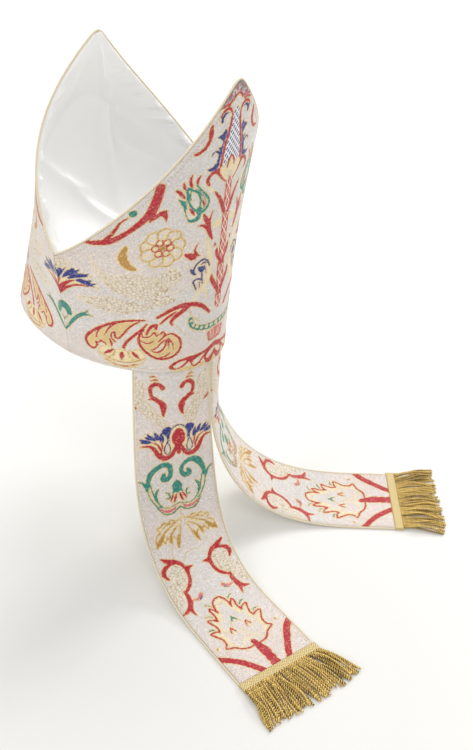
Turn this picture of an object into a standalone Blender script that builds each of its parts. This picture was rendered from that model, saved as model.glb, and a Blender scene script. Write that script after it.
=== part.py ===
"""Bishop's mitre with two lappets, built as the separate pieces that are sewn together.

The origin is the middle of the head opening in the plane of the rim, +Z is up, the wearer
faces -Y and +X is the wearer's left. The mitre sits upright as on a head, and its lappets
hang from the back of the rim and run out over a surface below.
"""
import math

import bmesh
import bpy
import numpy as np
from mathutils import Matrix, Vector

# Driving dimensions, in metres and degrees
RIM_HALF_WIDTH = 0.078
RIM_FRONT_DEPTH = 0.116
RIM_BACK_DEPTH = 0.105
NOTCH_HEIGHT = 0.122
PEAK_HEIGHT = 0.269
PEAK_RADIUS = 0.006
PANEL_THICKNESS = 0.0022
LEAN = 1.2
SIDE_SEAM_SLOPE = 0.123
FRONT_EDGE_BOW = 0.906
BACK_EDGE_BOW = 0.825

GUSSET_THICKNESS = 0.0010
GUSSET_HEM = 0.0015
VALLEY_DIP = 0.028
VALLEY_LIFT = 0.075
VALLEY_LIFT_AT_SEAM = 0.003

PIPING_RADIUS = 0.0012
PIPING_START = 0.0040

SURFACE_DROP = 0.2066
LAPPET_WIDTH = 0.081
LAPPET_END_WIDTH = 0.086
LAPPET_LENGTH = 0.338
LAPPET_THICKNESS = 0.0024
LAPPET_TUCK = 0.020
LAPPET_GAP_AT_BACK = 0.0010
LAPPET_PIPING_RADIUS = 0.0010
CROSS_CURVE_LENGTH = 0.150
TURN_LENGTH = 0.270

FRINGE_LENGTH = 0.054
HEADER_LENGTH = 0.010
HEADER_THICKNESS = 0.0034
LOCK_COUNT = 14
LOCK_ROOT_RADIUS = 0.0033
LOCK_TIP_RADIUS = 0.0037
LOCK_FLATNESS = 0.62
LOCK_OVERLAP = 0.0030
LOCK_STRAY = 3.0
LOCK_UNEVENNESS = 0.05

CLEARANCE = 0.0003
SEWN_CLEARANCE = 0.0007

# Sections of the shell. Columns: height, half width as a share of the rim's, front depth and
# back depth as shares of the rim's, angle in degrees that the outline turns up to the side seam
SECTIONS = (
    (0.0, 1.000, 1.000, 1.000, 86.0),
    (NOTCH_HEIGHT, 1.412, 0.841, 0.865, 33.0),
    (PEAK_HEIGHT, 1.990, 0.590, 0.746, 20.0),
)

# Lappets. Columns: name, side (+1 is the wearer's left), angle from the vertical at the rim,
# length of the sweep from hanging to lying, compass angle of the lying end from straight back,
# splay of the fringe's outer and inner ends
LAPPETS = (
    ("left", 1, 6.0, 0.209, 18.0, 12.0, -25.0),
    ("right", -1, -0.7, 0.268, -36.3, 13.0, -6.0),
)

# Soft folds of the satin on the front horn. Columns: start and end as shares across (from the
# wearer's right to the left) and up the horn, width in metres, height in metres
GUSSET_FOLDS = (
    (0.30, 0.34, 0.86, 0.30, 0.010, 0.0030),
    (-0.55, 0.30, 0.05, 0.42, 0.009, 0.0026),
    (-0.75, 0.12, -0.10, 0.20, 0.012, 0.0030),
)

PANEL_COLUMNS = 28
BAND_ROWS = 6
HORN_ROWS = 14
GUSSET_COLUMNS = 20
GUSSET_ROWS = 22
LAPPET_COLUMNS = 5
LAPPET_ROWS = 22
ARC_STEPS = 181
PATH_STEPS = 400
PROBE = 0.0005
CUTTER_SIZE = 0.6

# Rows of the rounded peak, as shares of its radius below the top
PEAK_ROWS = (0.65, 0.30, 0.08)

BACK = 1
FRONT = -1

BROCADE = ("Cream brocade", (0.80, 0.76, 0.75, 1.0), 0.60, 0.0)
SATIN = ("White satin", (0.88, 0.88, 0.87, 1.0), 0.35, 0.0)
PIPING = ("Cream gold piping", (0.78, 0.70, 0.55, 1.0), 0.55, 0.0)
BULLION = ("Gold bullion", (0.50, 0.36, 0.13, 1.0), 0.45, 0.3)


def clear_scene():
    for old in list(bpy.data.objects):
        bpy.data.objects.remove(old, do_unlink=True)


def make_collection(name):
    collection = bpy.data.collections.new(name)
    bpy.context.scene.collection.children.link(collection)
    return collection


def make_material(name, colour, roughness, metallic):
    material = bpy.data.materials.new(name)
    material.use_nodes = True
    shader = material.node_tree.nodes["Principled BSDF"]
    shader.inputs["Base Color"].default_value = colour
    shader.inputs["Roughness"].default_value = roughness
    shader.inputs["Metallic"].default_value = metallic
    material.diffuse_color = colour
    return material


def ease(value):
    """Smooth step from 0 to 1."""
    value = min(max(value, 0.0), 1.0)
    return value * value * (3.0 - 2.0 * value)


def section_column(height, column):
    """A column of SECTIONS at a height, on the parabola through its three rows."""
    total = 0.0
    for row in SECTIONS:
        weight = 1.0
        for other in SECTIONS:
            if other is not row:
                weight *= (height - other[0]) / (row[0] - other[0])
        total += weight * row[column]
    return total


def corner_angle(height):
    levels = [row[0] for row in SECTIONS]
    angles = [row[4] for row in SECTIONS]
    return math.radians(np.interp(height, levels, angles))


def section_arc(face, height):
    """Half of a panel's section, from its middle to the side seam, with the run along it."""
    half_width = RIM_HALF_WIDTH * section_column(height, 1)
    if face == FRONT:
        depth = RIM_FRONT_DEPTH * section_column(height, 2)
    else:
        depth = RIM_BACK_DEPTH * section_column(height, 3)
    corner = corner_angle(height)
    turn = np.linspace(0.0, corner, ARC_STEPS)
    x = half_width * np.sin(turn) / math.sin(corner)
    y = depth * (np.cos(turn) - math.cos(corner)) / (1.0 - math.cos(corner))
    run = np.concatenate(([0.0], np.cumsum(np.hypot(np.diff(x), np.diff(y)))))
    return x, y, run


def lean_back(point):
    return Matrix.Rotation(-math.radians(LEAN), 3, "X") @ point


def outer_point(face, along, height):
    """Point on a panel's outer face, at a run from its middle and a height above the rim."""
    x, y, run = section_arc(face, height)
    reach = abs(along)
    over = max(reach - run[-1], 0.0)
    px = float(np.interp(reach, run, x)) + over
    py = float(np.interp(reach, run, y))
    seam = SIDE_SEAM_SLOPE * height
    return lean_back(Vector((math.copysign(px, along), face * py + seam, height)))


def outer_normal(face, along, height):
    step_along = outer_point(face, along + PROBE, height) - outer_point(face, along - PROBE, height)
    step_up = outer_point(face, along, height + PROBE) - outer_point(face, along, height - PROBE)
    normal = step_along.cross(step_up).normalized()
    return -normal if face == BACK else normal


def inner_point(face, along, height, inward):
    return outer_point(face, along, height) - outer_normal(face, along, height) * inward


def edge_run(face, height):
    """Run from a panel's middle to its edge: the side seam, and above it the slanted edge."""
    full = section_arc(face, height)[2][-1]
    if height <= NOTCH_HEIGHT:
        return full
    bow = BACK_EDGE_BOW if face == BACK else FRONT_EDGE_BOW
    apex = PEAK_HEIGHT + 0.5 * PEAK_RADIUS
    share = min((height - NOTCH_HEIGHT) / (apex - NOTCH_HEIGHT), 1.0)
    slanted = full * (1.0 - share ** bow)
    below_top = max(PEAK_HEIGHT - height, 0.0)
    rounded = math.sqrt(max(2.0 * PEAK_RADIUS * below_top - below_top ** 2, 0.0))
    if below_top < PEAK_RADIUS:
        return min(slanted, rounded)
    return slanted


def panel_heights():
    """Heights of a panel's rows, closer together where the peak is rounded."""
    band = [NOTCH_HEIGHT * i / BAND_ROWS for i in range(BAND_ROWS)]
    rounding = [PEAK_HEIGHT - PEAK_RADIUS * share for share in PEAK_ROWS]
    plain = HORN_ROWS - len(rounding)
    start = NOTCH_HEIGHT + PIPING_START
    reach = PEAK_HEIGHT - PEAK_RADIUS - start
    horn = [start + reach * i / plain for i in range(plain + 1)]
    return band + [NOTCH_HEIGHT] + horn + rounding


def make_surface(name, columns, rows, place):
    """Grid of columns by rows whose corners go where place(share across, row) puts them."""
    mesh = bpy.data.meshes.new(name)
    grid = bmesh.new()
    bmesh.ops.create_grid(grid, x_segments=columns, y_segments=rows, size=1.0)
    for vert in grid.verts:
        row = round((vert.co.y + 1.0) / 2.0 * rows)
        vert.co = place(vert.co.x, row)
    grid.to_mesh(mesh)
    grid.free()
    return bpy.data.objects.new(name, mesh)


def turn_faces(target):
    target.data.flip_normals()


def finish(target, collection, material):
    collection.objects.link(target)
    target.data.materials.append(material)
    return target


def smooth(target):
    target.data.shade_smooth()
    target.data.set_sharp_from_angle(angle=math.radians(40.0))


def thicken(target, thickness, offset):
    solid = target.modifiers.new("Wall", "SOLIDIFY")
    solid.thickness = thickness
    solid.offset = offset
    solid.use_even_offset = True


def make_seam_cutter(face, collection):
    """Block whose face stands in the plane of the side seams, half a clearance off it."""
    bpy.ops.mesh.primitive_cube_add(size=1.0)
    cutter = bpy.context.object
    cutter.name = "seam_cutter_front" if face == FRONT else "seam_cutter_back"
    for owner in list(cutter.users_collection):
        owner.objects.unlink(cutter)
    collection.objects.link(cutter)
    slope = math.atan(SIDE_SEAM_SLOPE) + math.radians(LEAN)
    shift = Matrix.Translation((0.0, -face * (CUTTER_SIZE - CLEARANCE) / 2.0, 0.0))
    cutter.data.transform(shift @ Matrix.Diagonal((CUTTER_SIZE, CUTTER_SIZE, 2.0 * CUTTER_SIZE, 1.0)))
    cutter.matrix_world = Matrix.Rotation(-slope, 4, "X")
    cutter.hide_render = True
    cutter.display_type = "WIRE"
    return cutter


def make_panel(name, face, collection, helpers, material):
    heights = panel_heights()

    def place(across, row):
        height = heights[row]
        return outer_point(face, across * edge_run(face, height), height)

    panel = make_surface(name, PANEL_COLUMNS, len(heights) - 1, place)
    if face == BACK:
        turn_faces(panel)
    finish(panel, collection, material)
    thicken(panel, PANEL_THICKNESS, -1.0)
    trim = panel.modifiers.new("Side seams", "BOOLEAN")
    trim.operation = "DIFFERENCE"
    trim.solver = "EXACT"
    trim.object = make_seam_cutter(face, helpers)
    smooth(panel)
    return panel


def fold_height(across, up):
    """Height of the satin's soft folds at a place on the front horn."""
    total = 0.0
    for x0, y0, x1, y1, width, height in GUSSET_FOLDS:
        run = Vector((x1 - x0, y1 - y0))
        here = Vector((across - x0, up - y0))
        share = min(max(here.dot(run) / run.length_squared, 0.0), 1.0)
        away = (here - run * share).length * RIM_HALF_WIDTH
        total += height * math.sin(math.pi * share) * math.exp(-(away / width) ** 2)
    return total


def make_gusset(collection, material):
    """Satin from one peak down the inside of its horn, over the valley and up to the other."""
    inward = PANEL_THICKNESS + SEWN_CLEARANCE + GUSSET_THICKNESS / 2.0
    top = PEAK_HEIGHT - PEAK_RADIUS

    def place(across, row):
        travel = 2.0 * row / GUSSET_ROWS - 1.0
        face = BACK if travel > 0.0 else FRONT
        up = abs(travel)
        height = NOTCH_HEIGHT + GUSSET_HEM + (top - NOTCH_HEIGHT - GUSSET_HEM) * up
        reach = max(edge_run(face, height) - GUSSET_HEM, GUSSET_HEM)
        fold = fold_height(across, up) if face == FRONT else 0.0
        on_panel = inner_point(face, across * reach, height, inward + fold)
        half_width = RIM_HALF_WIDTH * section_column(NOTCH_HEIGHT, 1) - 2.0 * inward
        hollow = 1.0 - across ** 2
        valley = Vector((across * half_width, SIDE_SEAM_SLOPE * NOTCH_HEIGHT,
                         NOTCH_HEIGHT + GUSSET_HEM - VALLEY_DIP * hollow))
        lift = VALLEY_LIFT_AT_SEAM + (VALLEY_LIFT - VALLEY_LIFT_AT_SEAM) * math.sqrt(hollow)
        share = ease(up * (PEAK_HEIGHT - NOTCH_HEIGHT) / lift)
        return lean_back(valley).lerp(on_panel, share)

    gusset = make_surface("horn_gusset", GUSSET_COLUMNS, GUSSET_ROWS, place)
    finish(gusset, collection, material)
    thicken(gusset, GUSSET_THICKNESS, 0.0)
    smooth(gusset)
    return gusset


def make_tube(name, points, radius, resolution, collection, material):
    """Closed tube with flat caps along a list of points."""
    curve = bpy.data.curves.new(name, "CURVE")
    curve.dimensions = "3D"
    curve.bevel_depth = radius
    curve.bevel_resolution = resolution
    curve.use_fill_caps = True
    spline = curve.splines.new("POLY")
    spline.points.add(len(points) - 1)
    for spot, point in zip(spline.points, points):
        spot.co = (*point, 1.0)
    tube = bpy.data.objects.new(name, curve)
    return finish(tube, collection, material)


def make_edge_piping(name, face, collection, material):
    """Piping along a horn's slanted edges, over the peak, just outside the panel's edge."""
    middle = PANEL_THICKNESS / 2.0
    stand_off = PIPING_RADIUS + CLEARANCE
    rise = [(-1, height) for height in panel_heights() if height > NOTCH_HEIGHT]
    route = rise + [(1, height) for _, height in reversed(rise)]
    edge = [inner_point(face, side * edge_run(face, height), height, middle) for side, height in route]
    inside = [outer_normal(face, side * edge_run(face, height), height) for side, height in route]
    points = []
    for i, point in enumerate(edge):
        ahead = edge[min(i + 1, len(edge) - 1)] - edge[max(i - 1, 0)]
        outward = ahead.cross(inside[i]).normalized()
        if outward.z < 0.0:
            outward = -outward
        points.append(point + outward * stand_off)
    return make_tube(name, points, PIPING_RADIUS, 2, collection, material)


def lappet_path(side, start_angle, sweep, splay):
    """Stations of a lappet's middle line below the rim: position, heading and run."""
    root_run = side * (LAPPET_GAP_AT_BACK / 2.0 + LAPPET_WIDTH / 2.0)
    inward = PANEL_THICKNESS + SEWN_CLEARANCE + LAPPET_THICKNESS / 2.0
    root = inner_point(BACK, root_run, 0.0, inward)
    normal = outer_normal(BACK, root_run, 0.0)
    root_heading = math.atan2(normal.x, normal.y)
    run = np.linspace(0.0, LAPPET_LENGTH, PATH_STEPS)
    step = run[1]
    rest = LAPPET_THICKNESS / 2.0 - SURFACE_DROP

    def fall(straight):
        share = np.clip((run - straight) / sweep, 0.0, 1.0)
        angle = np.radians(start_angle + (90.0 - start_angle) * share ** 2 * (3.0 - 2.0 * share))
        out = np.concatenate(([0.0], np.cumsum(np.sin(angle[1:]) * step)))
        down = root.z - np.concatenate(([0.0], np.cumsum(np.cos(angle[1:]) * step)))
        return angle, out, down

    low, high = 0.0, LAPPET_LENGTH
    for _ in range(40):
        straight = (low + high) / 2.0
        if fall(straight)[2][-1] > rest:
            low = straight
        else:
            high = straight
    angle, out, down = fall(straight)
    turned = np.clip(run / TURN_LENGTH, 0.0, 1.0)
    heading = root_heading + (math.radians(splay) - root_heading) * turned
    forward = np.diff(out, prepend=0.0)
    x = root.x + np.cumsum(forward * np.sin(heading))
    y = root.y + np.cumsum(forward * np.cos(heading))
    return run, np.stack([x, y, down], axis=1), heading, angle


def lappet_point(side, path, offset, distance):
    """Point of a lappet at an offset from its middle line and a distance below the rim."""
    root_run = side * (LAPPET_GAP_AT_BACK / 2.0 + LAPPET_WIDTH / 2.0)
    inward = PANEL_THICKNESS + SEWN_CLEARANCE + LAPPET_THICKNESS / 2.0
    at_rim = inner_point(BACK, root_run + offset, 0.0, inward)
    if distance <= 0.0:
        return inner_point(BACK, root_run + offset, -distance, inward)
    run, middle, heading, _ = path
    centre = Vector([float(np.interp(distance, run, middle[:, k])) for k in range(3)])
    turn = float(np.interp(distance, run, heading))
    across = Vector((math.cos(turn), -math.sin(turn), 0.0))
    outward = Vector((math.sin(turn), math.cos(turn), 0.0))
    root_across = Vector((math.cos(heading[0]), -math.sin(heading[0]), 0.0))
    root_outward = Vector((math.sin(heading[0]), math.cos(heading[0]), 0.0))
    bend = at_rim - Vector(middle[0])
    keep = 1.0 - ease(distance / CROSS_CURVE_LENGTH)
    sideways = offset + (bend.dot(root_across) - offset) * keep
    return centre + across * sideways + outward * bend.dot(root_outward) * keep


def lappet_half_width(distance):
    """Half of a lappet's width over its pipings, which grows from the rim to the fringe."""
    share = max(distance, 0.0) / LAPPET_LENGTH
    return (LAPPET_WIDTH + (LAPPET_END_WIDTH - LAPPET_WIDTH) * share) / 2.0


def make_lappet(name, side, path, collection, material):
    margin = 2.0 * LAPPET_PIPING_RADIUS + CLEARANCE
    full = LAPPET_LENGTH + LAPPET_TUCK

    def place(across, row):
        distance = full * row / LAPPET_ROWS - LAPPET_TUCK
        return lappet_point(side, path, across * (lappet_half_width(distance) - margin), distance)

    lappet = make_surface(name, LAPPET_COLUMNS, LAPPET_ROWS, place)
    finish(lappet, collection, material)
    thicken(lappet, LAPPET_THICKNESS, 0.0)
    smooth(lappet)
    return lappet


def make_lappet_piping(name, side, edge, path, collection, material):
    full = LAPPET_LENGTH + LAPPET_TUCK
    points = []
    for i in range(LAPPET_ROWS + 1):
        distance = full * i / LAPPET_ROWS - LAPPET_TUCK
        offset = edge * (lappet_half_width(distance) - LAPPET_PIPING_RADIUS)
        points.append(lappet_point(side, path, offset, distance))
    return make_tube(name, points, LAPPET_PIPING_RADIUS, 1, collection, material)


def make_fringe(name, path, splay_out, splay_in, side, parts, helpers, material):
    """Woven header across a lappet's end with tapered locks of cord fused to it."""
    end = Vector(path[1][-1])
    heading = path[2][-1]
    forward = Vector((math.sin(heading), math.cos(heading), 0.0))
    across = Vector((math.cos(heading), -math.sin(heading), 0.0))
    floor = -SURFACE_DROP
    header_middle = end + forward * (CLEARANCE + HEADER_LENGTH / 2.0)
    header_middle.z = floor + HEADER_THICKNESS / 2.0
    bpy.ops.mesh.primitive_cube_add(size=1.0)
    header = bpy.context.object
    header.name = name
    for owner in list(header.users_collection):
        owner.objects.unlink(header)
    header.data.transform(Matrix.Diagonal((LAPPET_END_WIDTH, HEADER_LENGTH, HEADER_THICKNESS, 1.0)))
    header.rotation_euler = (0.0, 0.0, -heading)
    header.location = header_middle
    finish(header, parts, material)
    locks = bpy.data.collections.new(name + "_locks")
    helpers.children.link(locks)
    length = FRINGE_LENGTH - HEADER_LENGTH
    for i in range(LOCK_COUNT):
        place = (i + 0.5) / LOCK_COUNT * 2.0 - 1.0
        outer_share = (place * side + 1.0) / 2.0
        fan = math.radians(splay_in + (splay_out - splay_in) * outer_share) * side
        stray = math.radians(LOCK_STRAY) * math.sin(2.4 * i)
        reach = length * (1.0 - LOCK_UNEVENNESS * abs(math.sin(1.7 * i)))
        root = header_middle + across * (place * LAPPET_END_WIDTH / 2.0) + forward * (HEADER_LENGTH / 2.0)
        root.z = floor + LOCK_ROOT_RADIUS * LOCK_FLATNESS
        direction = Matrix.Rotation(-fan - stray, 3, "Z") @ forward
        start = root - direction * LOCK_OVERLAP
        tip = root + direction * reach
        tip.z = floor + LOCK_TIP_RADIUS * LOCK_FLATNESS
        lock = make_lock(start, tip)
        locks.objects.link(lock)
    weld = header.modifiers.new("Locks", "BOOLEAN")
    weld.operation = "UNION"
    weld.solver = "EXACT"
    weld.operand_type = "COLLECTION"
    weld.collection = locks
    return header


def make_lock(start, tip):
    """Tapered lock, flattened where it lies, from inside the header to its tip."""
    mesh = bpy.data.meshes.new("lock")
    cone = bmesh.new()
    length = (tip - start).length
    bmesh.ops.create_cone(cone, cap_ends=True, segments=8, radius1=LOCK_ROOT_RADIUS,
                          radius2=LOCK_TIP_RADIUS, depth=length)
    flatten = Matrix.Diagonal((1.0, LOCK_FLATNESS, 1.0, 1.0))
    lay = (tip - start).to_track_quat("Z", "Y").to_matrix().to_4x4()
    bmesh.ops.transform(cone, verts=cone.verts,
                        matrix=Matrix.Translation((start + tip) / 2.0) @ lay @ flatten)
    cone.to_mesh(mesh)
    cone.free()
    lock = bpy.data.objects.new("lock", mesh)
    lock.hide_render = True
    lock.display_type = "WIRE"
    return lock


def build():
    clear_scene()
    parts = make_collection("bishop_mitre")
    helpers = make_collection("helpers")
    brocade = make_material(*BROCADE)
    satin = make_material(*SATIN)
    piping = make_material(*PIPING)
    bullion = make_material(*BULLION)
    make_panel("front_panel", FRONT, parts, helpers, brocade)
    make_panel("back_panel", BACK, parts, helpers, brocade)
    make_gusset(parts, satin)
    make_edge_piping("front_edge_piping", FRONT, parts, piping)
    make_edge_piping("back_edge_piping", BACK, parts, piping)
    for name, side, start_angle, sweep, splay, fan_out, fan_in in LAPPETS:
        path = lappet_path(side, start_angle, sweep, splay)
        make_lappet(name + "_lappet", side, path, parts, brocade)
        make_lappet_piping(name + "_lappet_piping_outer", side, side, path, parts, piping)
        make_lappet_piping(name + "_lappet_piping_inner", side, -side, path, parts, piping)
        make_fringe(name + "_fringe", path, fan_out, fan_in, side, parts, helpers, bullion)


build()
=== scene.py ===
"""Looks of a bishop's mitre: cream brocade horns, a satin valley, corded edges and fringed lappets.

Lengths are in metres, unless a name ends in MM, which is millimetres on the flat cloth.
"""
import math
from functools import partial

import bmesh
import bpy
import numpy as np
from mathutils import Matrix, Vector


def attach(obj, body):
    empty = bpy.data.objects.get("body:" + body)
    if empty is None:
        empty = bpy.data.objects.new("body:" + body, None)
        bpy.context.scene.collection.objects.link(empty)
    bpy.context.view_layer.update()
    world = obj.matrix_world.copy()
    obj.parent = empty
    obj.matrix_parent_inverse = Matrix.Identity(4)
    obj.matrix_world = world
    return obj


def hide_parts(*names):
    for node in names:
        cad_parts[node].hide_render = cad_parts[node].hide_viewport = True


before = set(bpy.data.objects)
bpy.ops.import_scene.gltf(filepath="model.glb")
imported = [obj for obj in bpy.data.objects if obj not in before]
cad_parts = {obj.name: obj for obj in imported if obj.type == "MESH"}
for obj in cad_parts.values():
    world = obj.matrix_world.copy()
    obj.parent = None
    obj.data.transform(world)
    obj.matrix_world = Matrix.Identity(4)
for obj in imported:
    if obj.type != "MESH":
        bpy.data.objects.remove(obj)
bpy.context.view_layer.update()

# Studio
# A seamless pale floor under large soft lights, seen from the angle of the photograph.

SURFACE_DROP = 0.2066
CAMERA_AZIMUTH = 123.18
CAMERA_ELEVATION = 36.05
CAMERA_DISTANCE = 1.0637
CAMERA_ROLL = 3.946
CAMERA_TARGET = Vector((-0.0386, 0.1064, -0.0408))
CAMERA_FOCUS_IN_HEIGHTS = 1108.5 / 750.0
SENSOR_HEIGHT_MM = 24.0
FLOOR_HALF_SIDE = 6.0
FLOOR_GAP = 0.0002
LIGHTS_AIM_AT = Vector((0.0, 0.05, -0.05))
AIR_COLOUR, AIR_STRENGTH = "#fefefd", 0.63

# The floor has a faint painted glow, which keeps it white far off, and is least within the first
# distance from this place, so that a painted shade lies on the floor round the hat
FLOOR_PAINTED_SHADE_AT = (0.16, 0.20, -0.2068)
FLOOR_PAINTED_GLOW_DISTANCES, FLOOR_PAINTED_GLOW = (0.20, 0.55), (0.04, 0.18)

# Columns: name, place, side of the square in metres, power in watts
SOFTBOXES = (
    ("key_softbox", (-1.1, -0.45, 1.9), 1.1, 15.0),
    ("top_softbox", (0.9, 1.1, 1.8), 0.9, 8.0),
    ("side_softbox", (-2.1, 0.20, 1.0), 0.6, 17.0),
    ("fill_softbox", (2.0, -0.9, 1.3), 1.2, 14.0),
)


def linear(hex_colour):
    """sRGB hex colour as linear RGBA."""
    levels = [int(hex_colour[i:i + 2], 16) / 255.0 for i in (1, 3, 5)]
    return (*[v / 12.92 if v <= 0.04045 else ((v + 0.055) / 1.055) ** 2.4 for v in levels], 1.0)


def add_node(tree, kind, feeds=None, **settings):
    """Node of a kind with its settings; feeds are its sockets' values or the sockets they come from."""
    node = tree.nodes.new(kind)
    for key, value in settings.items():
        setattr(node, key, value)
    for key, value in (feeds or {}).items():
        if isinstance(value, bpy.types.NodeSocket):
            tree.links.new(value, node.inputs[key])
        else:
            node.inputs[key].default_value = value
    return node


def start_material(name):
    """Empty material with its node tree."""
    material = bpy.data.materials.new(name)
    material.use_nodes = True
    material.node_tree.nodes.clear()
    return material, material.node_tree


def coat(tree, feeds):
    """Principled surface with these sockets, as the material's output."""
    shade = add_node(tree, "ShaderNodeBsdfPrincipled", feeds)
    tree.links.new(shade.outputs[0], tree.nodes.new("ShaderNodeOutputMaterial").inputs["Surface"])


def maths_in(tree):
    """Functions that add a Math node and give its result: any operation, then times, plus and minus."""
    def calc(operation, *values):
        return add_node(tree, "ShaderNodeMath", dict(enumerate(values)), operation=operation).outputs[0]
    return (calc, *(partial(calc, operation) for operation in ("MULTIPLY", "ADD", "SUBTRACT")))


def attribute(tree, name, socket="Fac"):
    return add_node(tree, "ShaderNodeAttribute", attribute_name=name).outputs[socket]


def own_place(tree):
    """Object coordinates."""
    return add_node(tree, "ShaderNodeTexCoord").outputs["Object"]


def parts_of(tree, vector):
    """X, Y and Z of a vector or colour."""
    return add_node(tree, "ShaderNodeSeparateXYZ", {0: vector}).outputs


def mix_colours(tree, share, first, second, blend="MIX"):
    return add_node(tree, "ShaderNodeMix", {"Factor": share, 6: first, 7: second},
                    data_type="RGBA", blend_type=blend).outputs[2]


def remap(tree, value, start=(0.0, 1.0), end=(0.0, 1.0), **settings):
    """Value carried from one range to another and held inside it."""
    return add_node(tree, "ShaderNodeMapRange",
                    {"Value": value, "From Min": start[0], "From Max": start[1],
                     "To Min": end[0], "To Max": end[1]}, **settings).outputs[0]


def noise(tree, place, scale, detail):
    return add_node(tree, "ShaderNodeTexNoise",
                    {"Vector": place, "Scale": scale, "Detail": detail}).outputs["Fac"]


def bumped(tree, height, strength, distance, **more):
    """Surface direction over a relief; distance is the relief's depth in metres."""
    return add_node(tree, "ShaderNodeBump",
                    {"Height": height, "Strength": strength, "Distance": distance, **more}).outputs[0]


def place_object(name, data):
    """Object of this data in the scene, at the origin."""
    thing = bpy.data.objects.new(name, data)
    bpy.context.scene.collection.objects.link(thing)
    return thing


def set_camera():
    """Camera at the photograph's place, with its tilt and its angle of view."""
    azimuth, elevation = math.radians(CAMERA_AZIMUTH), math.radians(CAMERA_ELEVATION)
    back = Vector((math.sin(azimuth) * math.cos(elevation),
                   -math.cos(azimuth) * math.cos(elevation), math.sin(elevation)))
    right = (-back).cross(Vector((0.0, 0.0, 1.0))).normalized()
    up = right.cross(-back)
    tilt = math.radians(CAMERA_ROLL)
    right, up = (right * math.cos(tilt) + up * math.sin(tilt),
                 up * math.cos(tilt) - right * math.sin(tilt))
    data = bpy.data.cameras.new("photo_camera")
    data.sensor_fit = "VERTICAL"
    data.sensor_height = SENSOR_HEIGHT_MM
    data.lens = CAMERA_FOCUS_IN_HEIGHTS * SENSOR_HEIGHT_MM
    camera = place_object("photo_camera", data)
    place = CAMERA_TARGET + back * CAMERA_DISTANCE
    turn = Matrix((right, up, back)).transposed().to_4x4()
    camera.matrix_world = Matrix.Translation(place) @ turn
    bpy.context.scene.camera = camera


def add_softbox(name, place, size, power):
    """Square area light, turned to the middle of the hat."""
    data = bpy.data.lights.new(name, "AREA")
    data.shape = "SQUARE"
    data.size = size
    data.energy = power
    turn = (LIGHTS_AIM_AT - Vector(place)).to_track_quat("-Z", "Y").to_matrix().to_4x4()
    place_object(name, data).matrix_world = Matrix.Translation(place) @ turn


def add_floor():
    """Matt white paper, with a faint painted glow and a painted shade round the hat."""
    mesh = bpy.data.meshes.new("studio_floor")
    half, drop = FLOOR_HALF_SIDE, -SURFACE_DROP - FLOOR_GAP
    corners = [(-half, -half, drop), (half, -half, drop), (half, half, drop), (-half, half, drop)]
    mesh.from_pydata(corners, [], [(0, 1, 2, 3)])
    material, tree = start_material("Matt paper with painted glow")
    # Painted glow on the floor, weakest near the hat, where it leaves a painted shade
    away = add_node(tree, "ShaderNodeVectorMath", {0: own_place(tree), 1: FLOOR_PAINTED_SHADE_AT},
                    operation="DISTANCE").outputs["Value"]
    coat(tree, {"Base Color": linear("#e9e8e5"), "Roughness": 0.9, "Specular IOR Level": 0.1,
                "Emission Color": linear("#ffffff"),
                "Emission Strength": remap(tree, away, FLOOR_PAINTED_GLOW_DISTANCES, FLOOR_PAINTED_GLOW)})
    mesh.materials.append(material)
    place_object("studio_floor", mesh)


set_camera()
for softbox in SOFTBOXES:
    add_softbox(*softbox)
add_floor()
world = bpy.data.worlds.new("studio_air")
world.use_nodes = True
world.node_tree.nodes["Background"].inputs["Color"].default_value = linear(AIR_COLOUR)
world.node_tree.nodes["Background"].inputs["Strength"].default_value = AIR_STRENGTH
bpy.context.scene.world = world
bpy.context.scene.view_settings.view_transform = "Standard"

# Horn panels
# Two stiffened panels of silk brocade, front and back, sewn together at the side seams. The
# motifs are charted in millimetres from the middle of a panel and up from its rim, and both
# sides of a panel mirror each other.

RIM_HALF_WIDTH = 0.078
RIM_FRONT_DEPTH = 0.116
RIM_BACK_DEPTH = 0.105
NOTCH_HEIGHT = 0.122
PEAK_HEIGHT = 0.269
PEAK_RADIUS = 0.006
PEAK_ROUNDING = 0.45  # share of the radius, from the top, where the arc is the outline
PANEL_THICKNESS = 0.0022
LEAN = 1.2
SIDE_SEAM_SLOPE = 0.123
FRONT_EDGE_BOW = 0.906
BACK_EDGE_BOW = 0.825
CLEARANCE = 0.0003
SEWN_CLEARANCE = 0.0007
ARC_STEPS = 181
PROBE = 0.0005
BACK = 1
FRONT = -1
CLOTH_STEP = 0.00095
LINING_STEP = 0.0040
SHARP_ANGLE = 50.0
RELIEF = 0.00014
STITCH_GROOVE = 0.00012
HEM_STITCH_INSET_MM = 4.6
EDGE_SLANT = 0.72  # way square to a slanted edge, as a share of the way along a row
BAND_RISE = 0.06  # how much the bands of the ground rise for each millimetre from the middle
SEAM_RISE = 0.01

# How much wider the motifs lie on a panel than in the chart, which fits the back panel
CHART_STRETCH = {BACK: 1.0, FRONT: 1.06}

# Columns: height, half width and depths as shares of the rim's, angle turned up to the side seam
SECTIONS = (
    (0.0, 1.000, 1.000, 1.000, 86.0),
    (NOTCH_HEIGHT, 1.412, 0.841, 0.865, 33.0),
    (PEAK_HEIGHT, 1.990, 0.590, 0.746, 20.0),
)

THREADS = ("net", "straw", "gold", "lattice", "scales", "braid", "rose", "ochre", "red", "teal", "blue")
BRIGHT_THREADS = ("lattice", "scales", "braid", "rose", "red", "teal", "blue", "ochre")
FAR_MM = 9.0
LINE_STEP_MM = 0.8
REACH_MM = 2.6  # how far from a figure its distance is still worked out
THREAD_MM = 0.8  # real threads are 0.3 mm, drawn as coarse as they need to show

# Rows: millimetres up the panel, share of pink weft in the ground
PANEL_BANDS = ((0, 0.55), (25, 0.65), (50, 0.2), (80, 0.25), (115, 0.75), (135, 0.7), (155, 0.15),
               (200, 0.05), (240, 0.3), (270, 0.4))

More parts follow.
